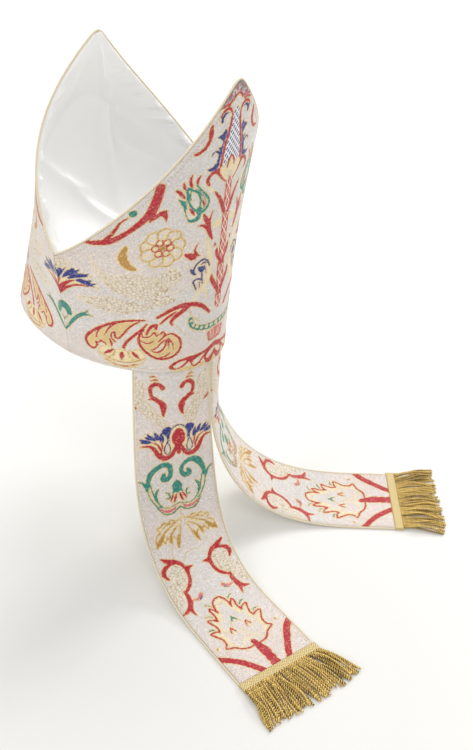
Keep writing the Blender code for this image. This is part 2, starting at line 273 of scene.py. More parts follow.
SMALL_ROSETTE = ((68.6, 15), (70.6, 22), (77, 25.6), (84.6, 22.4), (90, 24.6), (95.4, 22.4), (103, 25.6),
                 (109.4, 22), (111.4, 15), (104, 6.4), (90, 2.6), (76, 6.4))

# Rows: thread, widths along the line, points. Widths of None make a filled shape, and a row in
# ground wipes out what is under it
PANEL_CHART = (
    # Bird in pale gold net, its two wings spread
    ("net", None, ((119, 129), (116, 118), (112, 112), (106, 108), (98, 106), (88, 107), (78, 108),
        (70, 105), (62, 107), (56, 110), (49, 112), (43, 107), (42, 100), (47, 95), (52, 88), (60, 84),
        (70, 80), (80, 80), (92, 85), (102, 92), (110, 102), (116, 114))),
    ("net", None, ((131, 79), (124, 74), (115, 69), (106, 66), (96, 64), (84, 65), (72, 69), (60, 73),
        (50, 76), (45, 81), (52, 85), (62, 82), (74, 77), (88, 80), (100, 83), (115, 80))),
    ("straw", (0.8, 1.0, 0.9, 0.8, 0.7), ((119.5, 129), (114, 115), (104, 107.6), (91, 106.4),
        (78, 108))),
    ("straw", (0.8, 1.0, 0.8, 0.6), ((119.4, 128), (117, 113), (108, 98), (94, 86))),
    ("straw", (0.6, 0.9, 0.6), ((115.6, 119), (106, 104.6), (92, 102))),
    ("straw", (0.6, 0.9, 0.6), ((116, 115), (106, 99.6), (90, 95.6))),
    ("straw", (0.8, 0.9, 0.8, 0.6), ((131, 79), (120, 71), (106, 65.6), (90, 64.6))),
    ("straw", (0.8, 0.9, 0.6), ((131, 79.6), (116, 80.6), (100, 83.4))),
    ("straw", (0.6, 0.9, 0.6), ((128, 78.4), (112, 74), (94, 71.4))),
    ("straw", (1.0, 1.0, 0.8), ((70, 104.6), (61, 100), (56, 92))),
    ("straw", (0.8, 0.8), ((80, 104.4), (68, 94))),
    ("straw", (0.6, 1.2, 0.8), ((43, 108), (50, 112.4), (58, 109))),
    ("straw", (0.8, 1.0, 0.8), ((38, 92), (44, 88), (52, 86.4))),
    ("net", None, ((133, 112), (141, 104.6), (152, 101), (152, 124), (143, 122))),
    ("straw", (0.8, 0.8), ((133, 112), (144, 122))),
    ("straw", (0.8, 0.8), ((136, 119.4), (142, 108), (150, 101))),
    # Pale gold stem and calyxes beside the middle
    ("straw", (3, 5, 5, 5, 3.5, 2), ((20, 134), (17, 122), (14.5, 110), (15, 98), (19, 88), (25, 82),
        (31, 73))),
    ("straw", (4, 4, 2), ((20, 86), (17, 80), (16, 74))),
    ("straw", None, ((-3, 204), (3, 200), (5, 196), (12, 199), (15, 195), (9, 188), (4, 184), (3, 190),
        (0, 192), (-3, 192))),
    ("straw", (2, 3, 1), ((16, 178), (21, 181.5), (26, 184))),
    ("straw", None, ((4, 146), (10, 150.5), (17, 147.5), (11, 142.5))),
    ("gold", (1.0, 1.2, 1.0), ((-2, 38.7), (10, 38.7), (20, 40.3), (28, 44), (32.5, 50), (33, 58))),
    ("gold", (0.8, 1.8, 1.6), ((31, 69), (30.5, 62), (26, 56), (20, 51))),
    ("gold", (0.7, 0.7), ((45, 58), (43, 52), (38, 45), (33, 41))),
    # Scaled tip and dashed lattice under it
    ("scales", None, ((-4, 276), (4, 276), (16, 262), (27, 250.5), (19, 250.5), (14, 252.5), (10, 250.5),
        (6, 254.5), (3, 258), (-4, 259.5))),
    ("red", (1.6, 2.4, 1.6, 2.6, 1.8), ((-3, 259.6), (1.5, 258.8), (4.5, 257.0), (6, 254.6), (8.2, 255.4),
        (10.5, 251.8), (13.5, 252.8), (18, 251))),
    ("lattice", None, ((-3, 248), (1.5, 247), (4.6, 241), (6.2, 232), (8.6, 222), (11, 212), (12, 204),
        (8.5, 199), (4, 203), (0, 206.5), (-3, 206.5))),
    ("red", (2.2, 3.2, 3.2, 3.4), ((5.4, 242), (6.3, 234), (8.7, 225), (11, 216), (12.4, 208),
        (13, 200.5))),
    ("blue", (0.8, 3, 3.6), ((11.3, 224), (14, 217), (15.8, 210), (17, 202))),
    ("red", (1.5, 2.8, 2.6, 1.8), ((5, 242), (7, 246), (10, 248.8), (14, 248.8), (17.5, 246.8),
        (19.2, 243.5))),
    ("blue", (1, 2.2, 3.2, 2.4), ((9.5, 245), (13, 246), (15.6, 244.2), (17.4, 242), (16.8, 239.2))),
    ("blue", None, ((9.3, 229), (12, 232.6), (14, 229.8), (19.6, 227), (16, 224.3), (13.4, 221.5),
        (10.8, 225))),
    ("blue", (3, 2.0, 1.6, 1.0), ((15, 211), (17.5, 213.4), (20.5, 215), (23.2, 214.3), (24.6, 212))),
    ("blue", (2.2, 1.8, 0.8), ((13.5, 212), (15.5, 215.5), (18, 218))),
    ("blue", None, ((15.2, 203.4), (18.4, 202.6), (20, 204.6), (22, 202), (28.4, 201), (23.5, 198.3),
        (17.5, 198.2))),
    ("red", (1.4, 2.2, 1.6), ((-2, 206.2), (1.6, 204.6), (3.7, 201), (4.6, 196.6))),
    ("red", (1.0, 1.8, 2.6, 4.4), ((4.3, 183.4), (10, 188), (14, 193), (17, 196.6))),
    ("red", (4.2, 3.2, 3.4, 3.6, 1.6), ((15.6, 197.2), (20, 196.8), (24, 194.6), (26.2, 191),
        (25.2, 187.8), (23.2, 186))),
    # Braided red column up the middle, with its leaves
    ("braid", None, ((-5, 186), (3.2, 184), (4.2, 172), (4.3, 150), (4.0, 130), (4.6, 105), (4.2, 80),
        (3.2, 60), (-5, 60))),
    ("red", None, ((17.6, 178.6), (13.6, 176.2), (8.8, 171), (5, 165), (2.6, 160), (1, 152), (5.4, 155.4),
        (8.6, 162.5), (12, 169.3), (15.6, 174.6))),
    ("red", None, ((7.5, 122), (9.4, 119), (8.3, 114), (5, 108.5), (2, 104), (0, 101), (0, 107.5),
        (4, 113), (5.6, 118))),
    ("red", None, ((11, 97), (13.1, 92), (8.6, 83.5), (4, 76), (1.5, 71), (0, 73), (1.8, 81.5), (6, 88),
        (9.4, 93.5))),
    ("red", (2.2, 2.2), ((10.5, 125.2), (10.6, 127))),
    # Flame leaves
    ("red", (0.8, 2.2, 3.4), ((17, 161), (18.6, 156), (20, 151))),
    ("red", (1.2, 3.6, 5.0, 5.2), ((26.6, 160), (25, 156.5), (22.6, 152.5), (20.6, 148))),
    ("red", (1.2, 2.2, 3), ((31, 150.2), (26, 149), (22, 145.5))),
    ("red", (5.2, 5.4, 4.2, 1.6), ((20.8, 151), (20, 145), (17.8, 139.5), (14.6, 133))),
    ("red", None, ((27.6, 240), (30.6, 234.6), (30.2, 228.4), (33, 223), (38, 219.6), (43, 218.2),
        (42, 216.4), (36.6, 217), (31, 220), (27, 225.8), (25.6, 233))),
    ("red", (0.8, 3, 1.8), ((33.6, 197.6), (36.2, 193.6), (36.2, 188))),
    ("red", (0.8, 3, 2.8, 1.4), ((41.8, 200.4), (43.3, 195.4), (42, 190.4), (39.4, 186))),
    ("red", (1.2, 2.8, 1), ((49.2, 194.4), (48.5, 190.4), (46.4, 186.8))),
    ("red", (1.2, 3.4, 1.8), ((55.6, 188.4), (51.2, 185), (46.8, 179.8))),
    # Tulip
    ("teal", (1.6, 2.0, 2.0, 2.6, 2.6), ((36.8, 189.4), (30.6, 182.6), (25.2, 177), (22.6, 172),
        (23.6, 167), (27.4, 163.4), (31.5, 163))),
    ("teal", (1.2, 1.2, 1.2, 1.6), ((36.6, 186), (31.4, 180), (27.3, 175.2), (25.8, 171), (27, 167.2),
        (30, 165.8))),
    ("teal", (2, 1.9, 2, 2.8, 2.2, 1.8, 2), ((31.4, 168), (31.6, 176), (35.4, 182.4), (40.6, 186),
        (44.6, 187.8), (44.4, 181), (43, 175.6), (39, 169.4), (34.6, 165.8))),
    ("teal", (1.0, 2.2, 0.8), ((41.5, 185), (42.4, 180.5), (40.4, 176.6))),
    ("teal", None, ((29.6, 167), (31.4, 170.4), (33.4, 168.2), (35.4, 165.6), (33.4, 161.4), (35, 158.8),
        (40, 158.4), (42.6, 160.2), (41.2, 156.2), (36, 154.8), (31, 156.6), (29.4, 161))),
    ("teal", (1.0, 1.2, 1.2), ((41, 157), (43.7, 163), (46.2, 170), (47.4, 175.4))),
    ("teal", None, ((44, 170.4), (45.6, 176), (49.6, 178.6), (53, 180.4), (50.2, 176), (47.4, 171.4),
        (45.6, 166.4))),
    ("red", (1.0, 2.6, 0.6), ((27.2, 168), (27.9, 171), (30, 176))),
    ("red", (1.2, 3.2, 0.8), ((36.2, 161.8), (38, 165), (41.4, 169))),
    # Thick branch under the slanted edge
    ("red", (8, 8.6, 8.8, 6.6, 5.0, 4.6, 5.2, 6.2, 5, 3), ((69, 193), (71, 182), (74, 172), (79, 164.5),
        (86, 157), (93, 151), (100, 145.6), (107, 142.6), (116, 141), (126, 142))),
    ("red", None, ((74, 167), (70, 168.8), (66, 170.8), (61.2, 171.4), (60.8, 168.6), (60, 164),
        (60.8, 160), (62.6, 163.4), (66, 166.4), (69.4, 164), (75, 161))),
    ("red", (1.2, 2.6, 3.0, 3.6), ((93.2, 166.4), (98.8, 161), (101.6, 155), (104.6, 149.6),
        (108.6, 145.2))),
    ("teal", (6.2, 6.2), ((88.7, 170.7), (89.3, 170.4))),
    # Crescent, red bud and blue feathered curl
    ("straw", None, ((79, 112), (87, 111.4), (94, 115.4), (98, 122.6), (98, 130.6), (92.4, 140),
        (88.6, 134), (89.4, 128.4), (87, 122), (82.6, 117))),
    ("ochre", None, ((81, 112.6), (87, 112.6), (92.6, 116.4), (96.6, 123), (96.6, 130), (92, 138),
        (90.2, 133.6), (91.4, 130), (89.4, 127.6), (90, 124), (87.4, 121.6), (87, 118.6), (84, 116.6))),
    ("red", None, ((25.6, 120.2), (28.4, 122.8), (30.8, 126.6), (30, 130.4), (28.2, 134), (32, 129.4),
        (32.4, 125), (31, 121.4), (29, 119.8))),
    ("red", None, ((29.6, 119.6), (31.4, 122.8), (36, 124.6), (41.4, 125), (38.6, 120.4), (34, 117.4),
        (30.6, 117.8))),
    ("blue", (1.2, 1.8, 2.0, 2.0, 1.6), ((15, 107), (17.2, 112.4), (21.4, 115.2), (26.4, 113.6), (30, 110),
        (31.4, 105))),
    ("blue", None, ((28, 101), (30.6, 105.4), (33.8, 109), (34.4, 106), (32, 102.4))),
    ("blue", (0.8, 1.4, 1.2), ((18.2, 110), (21, 112), (24, 110.6))),
    ("blue", None, ((20.2, 104), (20.4, 108), (27.2, 108.6), (24.4, 103))),
    ("blue", (0.8, 1.2, 0.8), ((20.4, 109), (19.2, 104.6), (18, 100.4))),
    ("blue", (1.4, 1.8, 1.4), ((22.4, 104), (22.2, 97), (21, 91.6))),
    ("blue", (1.6, 2.0, 1.6, 1.4), ((22.4, 95), (27, 97), (30.6, 94.6), (28.8, 90.4), (27, 86))),
    ("blue", (1.2, 1.2), ((24.2, 93), (24, 88))),
    # Flame palmette and trefoil, whose other halves are across the side seam
    ("straw", None, ((117, 92.6), (123, 96.4), (129, 99), (136, 100.4), (143, 99), (152, 96), (152, 84),
        (140, 86), (130, 91))),
    ("red", (0.9, 2.0, 2.6, 3.4, 3.6), ((118.6, 91.6), (127, 92.2), (134, 90.4), (141, 85.4), (148, 77))),
    ("red", (0.8, 2.8, 4.8, 5.4), ((130.6, 97.6), (137, 94.6), (142.4, 89), (147.4, 81))),
    ("red", None, ((139, 87), (144, 88), (148, 90.6), (152, 90), (152, 75), (147, 76), (142.6, 80.4))),
    ("red", (1.2, 3.0, 4.0), ((144.6, 97.4), (147.4, 91), (149.6, 82))),
    ("blue", None, ((111.4, 90.6), (116.4, 92.6), (113.6, 95.4), (118.6, 95.6), (117.6, 98.8),
        (122.4, 98.2), (127, 99.6), (131.4, 97.2), (127, 94.8), (120, 92.2))),
    ("blue", None, ((117.4, 103.4), (121.6, 102.8), (120.6, 106), (125.4, 105), (130.4, 105.4),
        (135.6, 102), (138.2, 97.6), (133, 99), (126.4, 101))),
    ("blue", None, ((127.6, 110), (131.6, 108.6), (133, 111), (137.4, 108.2), (141, 104), (142.8, 98),
        (138.6, 100.4), (133.6, 103.6), (130.2, 106))),
    ("blue", None, ((139.4, 111), (142.6, 108), (145.4, 109.6), (148.2, 104.6), (150, 98.4), (147, 96),
        (144.6, 99.6), (142.4, 104))),
    ("blue", None, ((147.6, 112.6), (149.4, 107), (152, 104), (152, 113))),
    ("teal", (0.8, 2.2, 3.8, 3.8, 2.6, 1.8), ((116.4, 56.8), (120.4, 57.8), (126, 56.6), (131, 52.4),
        (136, 45), (140, 37.6), (143.4, 32.6))),
    ("teal", (0.6, 1.8, 3), ((120.2, 63.4), (122.8, 60), (127, 57.4))),
    ("teal", None, ((152, 74), (143.4, 69.6), (138.6, 66), (136, 60), (135.6, 53), (139.4, 52.6),
        (140.6, 57), (143.4, 61), (152, 66))),
    ("teal", (0.8, 0.8), ((140, 51), (144, 44), (144.4, 36))),
    # Red scroll, pearl band and bars round the middle of the band
    ("red", (2.6, 3.6, 4.4, 4.6, 4.6, 4.0, 2.6), ((10.4, 57.4), (15, 62.8), (20.4, 67.8), (27, 71),
        (34.4, 72.4), (42, 71.4), (50, 68), (60.4, 61.4))),
    ("red", (4.4, 4.4, 3.4, 1.2), ((33.6, 70.4), (40, 65), (45.4, 60.4), (48, 56), (46.6, 52.2))),
    ("red", (1.6, 2.6, 2.4, 1.4), ((44, 66.6), (50, 62.4), (54, 58.6), (57.4, 54.4))),
    ("teal", (5.6, 5.6, 5.4, 5.0, 4.2), ((-3, 42), (8, 42.2), (16, 43), (24, 45.8), (29, 50.4),
        (30, 56))),
    ("ground", (3.4, 3.4), ((0.2, 42), (0.9, 42))),
    ("ground", (3.4, 3.4), ((6.0, 42.2), (6.8, 42.2))),
    ("ground", (3.4, 3.4), ((12.0, 42.6), (12.8, 42.8))),
    ("ground", (3.2, 3.2), ((17.6, 43.6), (18.3, 43.8))),
    ("ground", (3.0, 3.0), ((22.8, 45.6), (23.4, 45.9))),
    ("ground", (2.8, 2.8), ((26.9, 48.6), (27.3, 49.1))),
    ("ground", (2.4, 2.4), ((29.4, 53.4), (29.5, 54))),
    ("rose", None, ((-3, 36.8), (8, 36.8), (11, 34.6), (9.2, 30), (7.8, 26), (-3, 26))),
    ("ground", (1.3, 1.3), ((2.4, 27.4), (3.4, 35.8))),
    ("ground", (1.3, 1.3), ((5.4, 27.4), (7.0, 35.8))),
    ("red", (1.2, 1.4, 1.2), ((11.2, 34.8), (9.4, 30), (7.9, 26), (0, 25.6))),
    # Half rosette on the rim
    ("gold", None, ((-3, 5), (8, 0.6), (14, 5), (20, 1.6), (30, 5), (36, 2.4), (44, 1.6), (42, -2),
        (-3, -2))),
    ("red", None, ((-3, 20.6), (5, 20), (12, 17.2), (22, 15.8), (32, 14.8), (40, 12.6), (46, 8.8),
        (47.4, 4.8), (43, 2.8), (36, 3.8), (31, 7.6), (28.6, 9.6), (26, 4.4), (22, 2.8), (17, 4.8),
        (13.5, 9.6), (11, 3), (6, 1), (2, 4), (0, 8), (-3, 8))),
    ("ground", None, ((0, 16), (4, 14.8), (9, 11.7), (10.6, 8.3), (8, 6.2), (4.4, 8.3), (1.4, 12))),
    ("ground", None, ((12.2, 14), (17, 13.2), (23, 10.6), (25.6, 7.4), (23.5, 4.7), (19.3, 6.3),
        (15.3, 10.5))),
    ("ground", None, ((31.3, 10.8), (36, 11.4), (41, 9.1), (43.9, 6), (41, 4), (36.3, 6))),
    # Round acanthus scroll
    ("gold", None, ((51, 42.5), (46, 43), (40, 38), (37.8, 31), (39, 24), (44, 18.5), (52, 15.6), (60, 17),
        (67, 22), (73, 29), (75.2, 36), (74, 44), (68, 50), (62, 51), (57, 46))),
    ("red", (1.2, 2.0, 2.2, 2.2, 2.4, 2.4, 2.2, 2.0), ((52, 41.4), (50, 42.9), (46, 43), (40, 38),
        (37.8, 31), (39, 24), (44, 18.5), (52, 15.6), (60, 17), (67, 22), (73, 29), (75.4, 36), (74, 44),
        (71.6, 48))),
    ("ground", None, ((52.4, 35.4), (55.6, 32.6), (58.6, 28.6), (63, 25.4), (58, 23.8), (54, 26.4),
        (52, 30.4))),
    ("red", (1.2, 1.8, 1.8, 1.2), ((51.6, 36.6), (51.8, 31), (54, 26.2), (58.4, 23.2), (63.6, 24.8))),
    ("red", (1.2, 1.6, 1.6, 0.8), ((52.6, 36.8), (56, 33), (59.4, 28.4), (64.4, 25.8))),
    ("red", (0.9, 1.6, 2.0), ((44.6, 26.6), (45.8, 33), (49.4, 38))),
    ("red", (1.0, 1.8), ((48.6, 28), (49.8, 37))),
    ("red", (1.6, 1.6, 1.0), ((47.4, 22.4), (52, 18.6), (59, 16.4))),
    ("red", (1.2, 1.8, 1.4), ((54, 46), (53, 42), (58, 35))),
    ("red", (1.8, 1.6, 1.4), ((54, 46), (57, 43.6), (60, 41.4))),
    ("red", (1.4, 1.6, 1.6, 1.4), ((60, 41), (62, 45.4), (66, 40.6), (71.6, 40), (73, 45))),
    ("red", (0.9, 1.6, 1.0), ((62, 36), (68, 33), (74, 36))),
    ("red", (3.4, 3.6, 3.0, 1.6), ((61, 53.4), (64.4, 52), (67.2, 48), (69, 42.6))),
    ("red", (3.4, 2.0), ((61, 53), (60.8, 48.6))),
    # Long acanthus leaf
    ("gold", None, ((78, 56.4), (90, 56), (100, 52), (108, 47), (115, 41), (121, 34), (123, 27), (121, 21),
        (116.6, 18.4), (113.6, 22), (113, 27), (109, 30), (103.5, 25), (99, 29), (97, 33), (93.4, 36),
        (90, 40), (86, 46.5), (82, 52))),
    ("ground", None, ((93.4, 35.5), (95.6, 37.6), (96.8, 42.6), (99, 40), (98.6, 35), (96, 32))),
    ("red", (1.6, 2.4, 2.8, 3.0, 3.0, 2.8, 2.2), ((71, 58.6), (80, 58), (90, 56), (100, 52), (108, 47),
        (115, 41), (121, 34), (123.2, 27), (121, 21), (116.6, 18.2))),
    ("red", (1.6, 2.0, 2.0, 1.8, 1.8, 1.6, 1.4), ((76, 56.6), (82, 52), (86, 46.6), (90, 40), (93.6, 35.6),
        (96.2, 38), (96.8, 42.8), (99.6, 40), (99.2, 35), (96, 31.6))),
    ("red", (1.6, 2.0, 1.6), ((101.4, 33.6), (99.2, 29.6), (99, 26.4))),
    ("red", (1.4, 1.8, 1.8, 2.2, 1.8), ((102.6, 24.2), (105.4, 27.4), (109.4, 30.2), (110.6, 27.2),
        (113.6, 27), (112.6, 23.4), (116.2, 18.4))),
    ("red", (1.8, 1.4, 1.0), ((96.6, 52.4), (102, 46), (106.2, 36.6))),
    ("red", (2.0, 1.6, 1.6), ((108.6, 46), (112, 40), (113.4, 33))),
    # Hanging stem with a small rosette on the rim
    ("red", (1.8, 2.6, 3.0, 3.0, 2.4), ((69, 54), (75, 46.4), (80, 40.4), (85, 34), (88.2, 27.4),
        (89.6, 20.6))),
    ("straw", None, SMALL_ROSETTE),
    ("gold", (1.3, 1.3), SMALL_ROSETTE + SMALL_ROSETTE[:1]),
    ("ground", (2.0, 3.0, 2.0), ((73, 11.6), (90, 6.6), (107, 11.6))),
    ("ochre", (0.9, 1.1, 0.9), ((70, 15.4), (80, 10.6), (90, 9), (100, 10.6), (110, 15.4))),
    ("ochre", (0.7, 0.9, 0.7), ((74.6, 8.6), (90, 4.4), (105.4, 8.6))),
    ("ochre", (0.8, 0.8, 0.8), ((84, 22), (82.6, 16), (78, 12.4))),
    ("ochre", (0.8, 0.8, 0.8), ((96, 22), (97.4, 16), (102, 12.4))),
    ("red", (2.0, 4.4, 1.0), ((89.8, 20.6), (89.8, 16.6), (90, 12))),
    ("red", (1.2, 3.6, 1.8), ((74.4, 15.2), (77.4, 18.4), (80.4, 22))),
    ("red", (1.8, 3.6, 1.2), ((98, 21.8), (102, 18.6), (105.8, 15))),
    ("red", (0.8, 1.2, 0.8), ((76, 9), (83, 5.4), (90, 4.4), (97, 5.4), (104, 9))),
)


def ease(value):
    """Smooth step from 0 to 1."""
    value = np.clip(value, 0.0, 1.0)
    return value * value * (3.0 - 2.0 * value)


def section_column(height, column):
    """A column of SECTIONS at a height, on the parabola through its three rows."""
    total = 0.0
    for row in SECTIONS:
        weight = 1.0
        for other in SECTIONS:
            if other is not row:
                weight *= (height - other[0]) / (row[0] - other[0])
        total += weight * row[column]
    return total


def section_arc(face, height):
    """Half of a panel's section, from its middle to the side seam, with the run along it."""
    half_width = RIM_HALF_WIDTH * section_column(height, 1)
    if face == FRONT:
        depth = RIM_FRONT_DEPTH * section_column(height, 2)
    else:
        depth = RIM_BACK_DEPTH * section_column(height, 3)
    corner = math.radians(np.interp(height, [row[0] for row in SECTIONS], [row[4] for row in SECTIONS]))
    turn = np.linspace(0.0, corner, ARC_STEPS)
    x = half_width * np.sin(turn) / math.sin(corner)
    y = depth * (np.cos(turn) - math.cos(corner)) / (1.0 - math.cos(corner))
    run = np.concatenate(([0.0], np.cumsum(np.hypot(np.diff(x), np.diff(y)))))
    return x, y, run


def lean_back(points):
    """Points turned back by the lean of the hat."""
    lean = math.radians(LEAN)
    turned = np.array(points, float)
    turned[..., 1] = points[..., 1] * math.cos(lean) + points[..., 2] * math.sin(lean)
    turned[..., 2] = points[..., 2] * math.cos(lean) - points[..., 1] * math.sin(lean)
    return turned


def outer_row(face, along, height):
    """Points of a panel's outer face at one height, at runs from its middle."""
    x, y, run = section_arc(face, height)
    reach = np.abs(along)
    across = np.interp(reach, run, x) + np.maximum(reach - run[-1], 0.0)
    depth = np.interp(reach, run, y)
    points = np.stack([np.copysign(across, along), face * depth + SIDE_SEAM_SLOPE * height,
                       np.full(len(along), height)], axis=1)
    return lean_back(points)


def unit(vectors):
    """The same directions with length 1."""
    return vectors / np.linalg.norm(vectors, axis=-1, keepdims=True)


def outward_row(face, along, height):
    """Outward directions of a panel at the same places."""
    beside = outer_row(face, along + PROBE, height) - outer_row(face, along - PROBE, height)
    above = outer_row(face, along, height + PROBE) - outer_row(face, along, height - PROBE)
    return -face * unit(np.cross(beside, above))


def edge_run(face, height):
    """Run from a panel's middle to its edge: the side seam, and above it the slanted edge."""
    full = section_arc(face, height)[2][-1]
    if height <= NOTCH_HEIGHT:
        return full
    bow = BACK_EDGE_BOW if face == BACK else FRONT_EDGE_BOW
    apex = PEAK_HEIGHT + 0.5 * PEAK_RADIUS
    share = min((height - NOTCH_HEIGHT) / (apex - NOTCH_HEIGHT), 1.0)
    slanted = full * (1.0 - share ** bow)
    below_top = max(PEAK_HEIGHT - height, 0.0)
    if below_top < PEAK_ROUNDING * PEAK_RADIUS:
        return min(slanted, math.sqrt(max(2.0 * PEAK_RADIUS * below_top - below_top ** 2, 0.0)))
    return slanted


def run_to_seam(face, height, inward):
    """Run at which a face this far inside the cloth meets the plane of the side seams."""
    x, y, run = section_arc(face, height)
    slope = np.gradient(y, run)
    depth = y - inward * np.gradient(x, run) / np.hypot(np.gradient(x, run), slope)
    return float(np.interp(-CLEARANCE / 2.0, -depth, run))


def smooth_line(points, closed):
    """Points along a smooth line through the charted ones, with their shares of the way."""
    corners = np.array(points, float)
    count = len(corners)
    spans = count if closed else count - 1
    found, shares = [], []
    for i in range(spans):
        if closed:
            before, start, end, after = (corners[(i + k) % count] for k in (-1, 0, 1, 2))
        else:
            before, start = corners[max(i - 1, 0)], corners[i]
            end, after = corners[i + 1], corners[min(i + 2, count - 1)]
        pieces = max(int(np.linalg.norm(end - start) / LINE_STEP_MM), 2)
        for k in range(pieces):
            t = k / pieces
            found.append(0.5 * (2.0 * start + (end - before) * t
                                + (2.0 * before - 5.0 * start + 4.0 * end - after) * t * t
                                + (3.0 * start - before - 3.0 * end + after) * t ** 3))
            shares.append((i + t) / spans)
    if not closed:
        found.append(corners[-1])
        shares.append(1.0)
    return np.array(found), np.array(shares)


def distance_to_shape(spots, widths, points):
    """Signed distance in millimetres from spots to a charted line or shape, below 0 inside it."""
    line, shares = smooth_line(points, widths is None)
    start = line if widths is None else line[:-1]
    end = np.roll(line, -1, axis=0) if widths is None else line[1:]
    span = end - start
    away = spots[:, None, :] - start[None, :, :]
    along = np.clip((away * span).sum(2) / np.maximum((span ** 2).sum(1), 1e-9), 0.0, 1.0)
    gap = np.linalg.norm(away - along[:, :, None] * span, axis=2)
    if widths is None:
        nearest = gap.min(1)
        rises = (start[None, :, 1] > spots[:, None, 1]) != (end[None, :, 1] > spots[:, None, 1])
        climb = np.where(np.abs(span[:, 1]) < 1e-9, 1e-9, span[:, 1])
        crossing = start[:, 0] + (spots[:, None, 1] - start[:, 1]) / climb * span[:, 0]
        inside = (rises & (spots[:, None, 0] < crossing)).sum(1) % 2 == 1
        return np.where(inside, -nearest, nearest)
    half = np.interp(shares, np.linspace(0.0, 1.0, len(widths)), widths) / 2.0
    return (gap - half[:-1] - (half[1:] - half[:-1]) * along).min(1)


def weave(chart, across_mm, up_mm):
    """Distance in millimetres from each spot of the cloth to each thread's nearest figure.

    Figures are laid in the chart's order, and each one pushes back the threads under it.
    """
    reach = np.abs(across_mm)
    threads = {name: np.full(len(reach), FAR_MM) for name in THREADS}
    order = np.argsort(up_mm, kind="stable")
    sorted_up = up_mm[order]
    for thread, widths, points in chart:
        corners = np.array(points, float)
        edge = REACH_MM + (max(widths) / 2.0 if widths else 0.0)
        low, high = corners.min(0) - edge, corners.max(0) + edge
        first, last = np.searchsorted(sorted_up, [low[1], high[1]])
        near = order[first:last]
        near = near[(reach[near] > low[0]) & (reach[near] < high[0])]
        if not len(near):
            continue
        gap = distance_to_shape(np.stack([reach[near], up_mm[near]], axis=1), widths, points)
        for name in THREADS:
            if name == thread:
                threads[name][near] = np.minimum(threads[name][near], gap)
            else:
                threads[name][near] = np.maximum(threads[name][near], -gap)
    return threads


def petal(middle, angle, inner, outer, width):
    """Outline of a pointed petal that points away from the middle of a rosette."""
    ahead = np.array((math.cos(angle), math.sin(angle)))
    beside = np.array((-ahead[1], ahead[0]))
    low, high = inner + 0.35 * (outer - inner), inner + 0.75 * (outer - inner)
    shape = ((inner, 0.0), (low, 0.46), (high, 0.5), (outer, 0.0), (high, -0.5), (low, -0.46))
    return tuple(tuple(np.array(middle) + ahead * reach + beside * width * side) for reach, side in shape)


def rosette_chart(middle=(61.0, 134.0), petals=9, small_petals=6):
    """Gold rosette with an ochre edge and a ring of small red petals."""
    rows = []
    for i in range(petals):
        angle = 2.0 * math.pi * i / petals + 0.2
        outline = petal(middle, angle, 5.0, 19.5, 11.5)
        rows += [("ground", None, outline), ("gold", (2.2, 2.2), outline + outline[:1]),
                 ("ochre", (0.9, 0.9), outline + outline[:1]),
                 ("straw", (1.0, 2.6, 1.0), petal(middle, angle, 10.0, 17.0, 0.4)[:4:3])]
    for i in range(small_petals):
        outline = petal(middle, 2.0 * math.pi * i / small_petals, 2.6, 9.4, 5.6)
        rows += [("straw", None, outline), ("red", (1.2, 1.2), outline + outline[:1])]
    return (*rows, ("ochre", (4.6, 4.6), (middle, (middle[0] + 0.2, middle[1]))))


def zip_rows(lower, lower_at, upper, upper_at):
    """Triangles between two rows of vertex numbers, each ordered by its place along the row."""
    i = j = 0
    faces = []
    while i < len(lower) - 1 or j < len(upper) - 1:
        lower_next = i < len(lower) - 1 and (j == len(upper) - 1 or lower_at[i + 1] <= upper_at[j + 1])
        if lower_next:
            faces.append((lower[i], lower[i + 1], upper[j]))
            i += 1
        else:
            faces.append((lower[i], upper[j + 1], upper[j]))
            j += 1
    return faces


def lattice_row(half, step):
    """Places across a row: its two ends and the points of a regular grid between them."""
    inner = np.arange(-int(half / step), int(half / step) + 1) * step
    inner = inner[np.abs(inner) < half - 0.35 * step]
    return np.concatenate(([-half], inner, [half]))


def solid_piece(name, points, faces, materials, kinds=None):
    """Closed piece with its normals outward, smooth but for its sharp edges."""
    mesh = bpy.data.meshes.new(name)
    mesh.from_pydata(points, [], faces)
    for material in materials:
        mesh.materials.append(material)
    if kinds:
        mesh.polygons.foreach_set("material_index", kinds)
    solid = bmesh.new()
    solid.from_mesh(mesh)
    bmesh.ops.recalc_face_normals(solid, faces=solid.faces)
    solid.to_mesh(mesh)
    solid.free()
    mesh.shade_smooth()
    mesh.set_sharp_from_angle(angle=math.radians(SHARP_ANGLE))
    return place_object(name, mesh)


def dress(piece, node=None):
    """Piece that rides with the hat, in place of a CAD node when one is named."""
    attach(piece, "root")
    if node:
        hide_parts(node)


def store_vectors(mesh, name, values, count):
    """Vector attribute on the first vertices of a mesh; the rest are far from every thread."""
    full = np.full((len(mesh.vertices), 3), FAR_MM, np.float32)
    full[:count] = values
    mesh.attributes.new(name, "FLOAT_VECTOR", "POINT").data.foreach_set("vector", full.ravel())


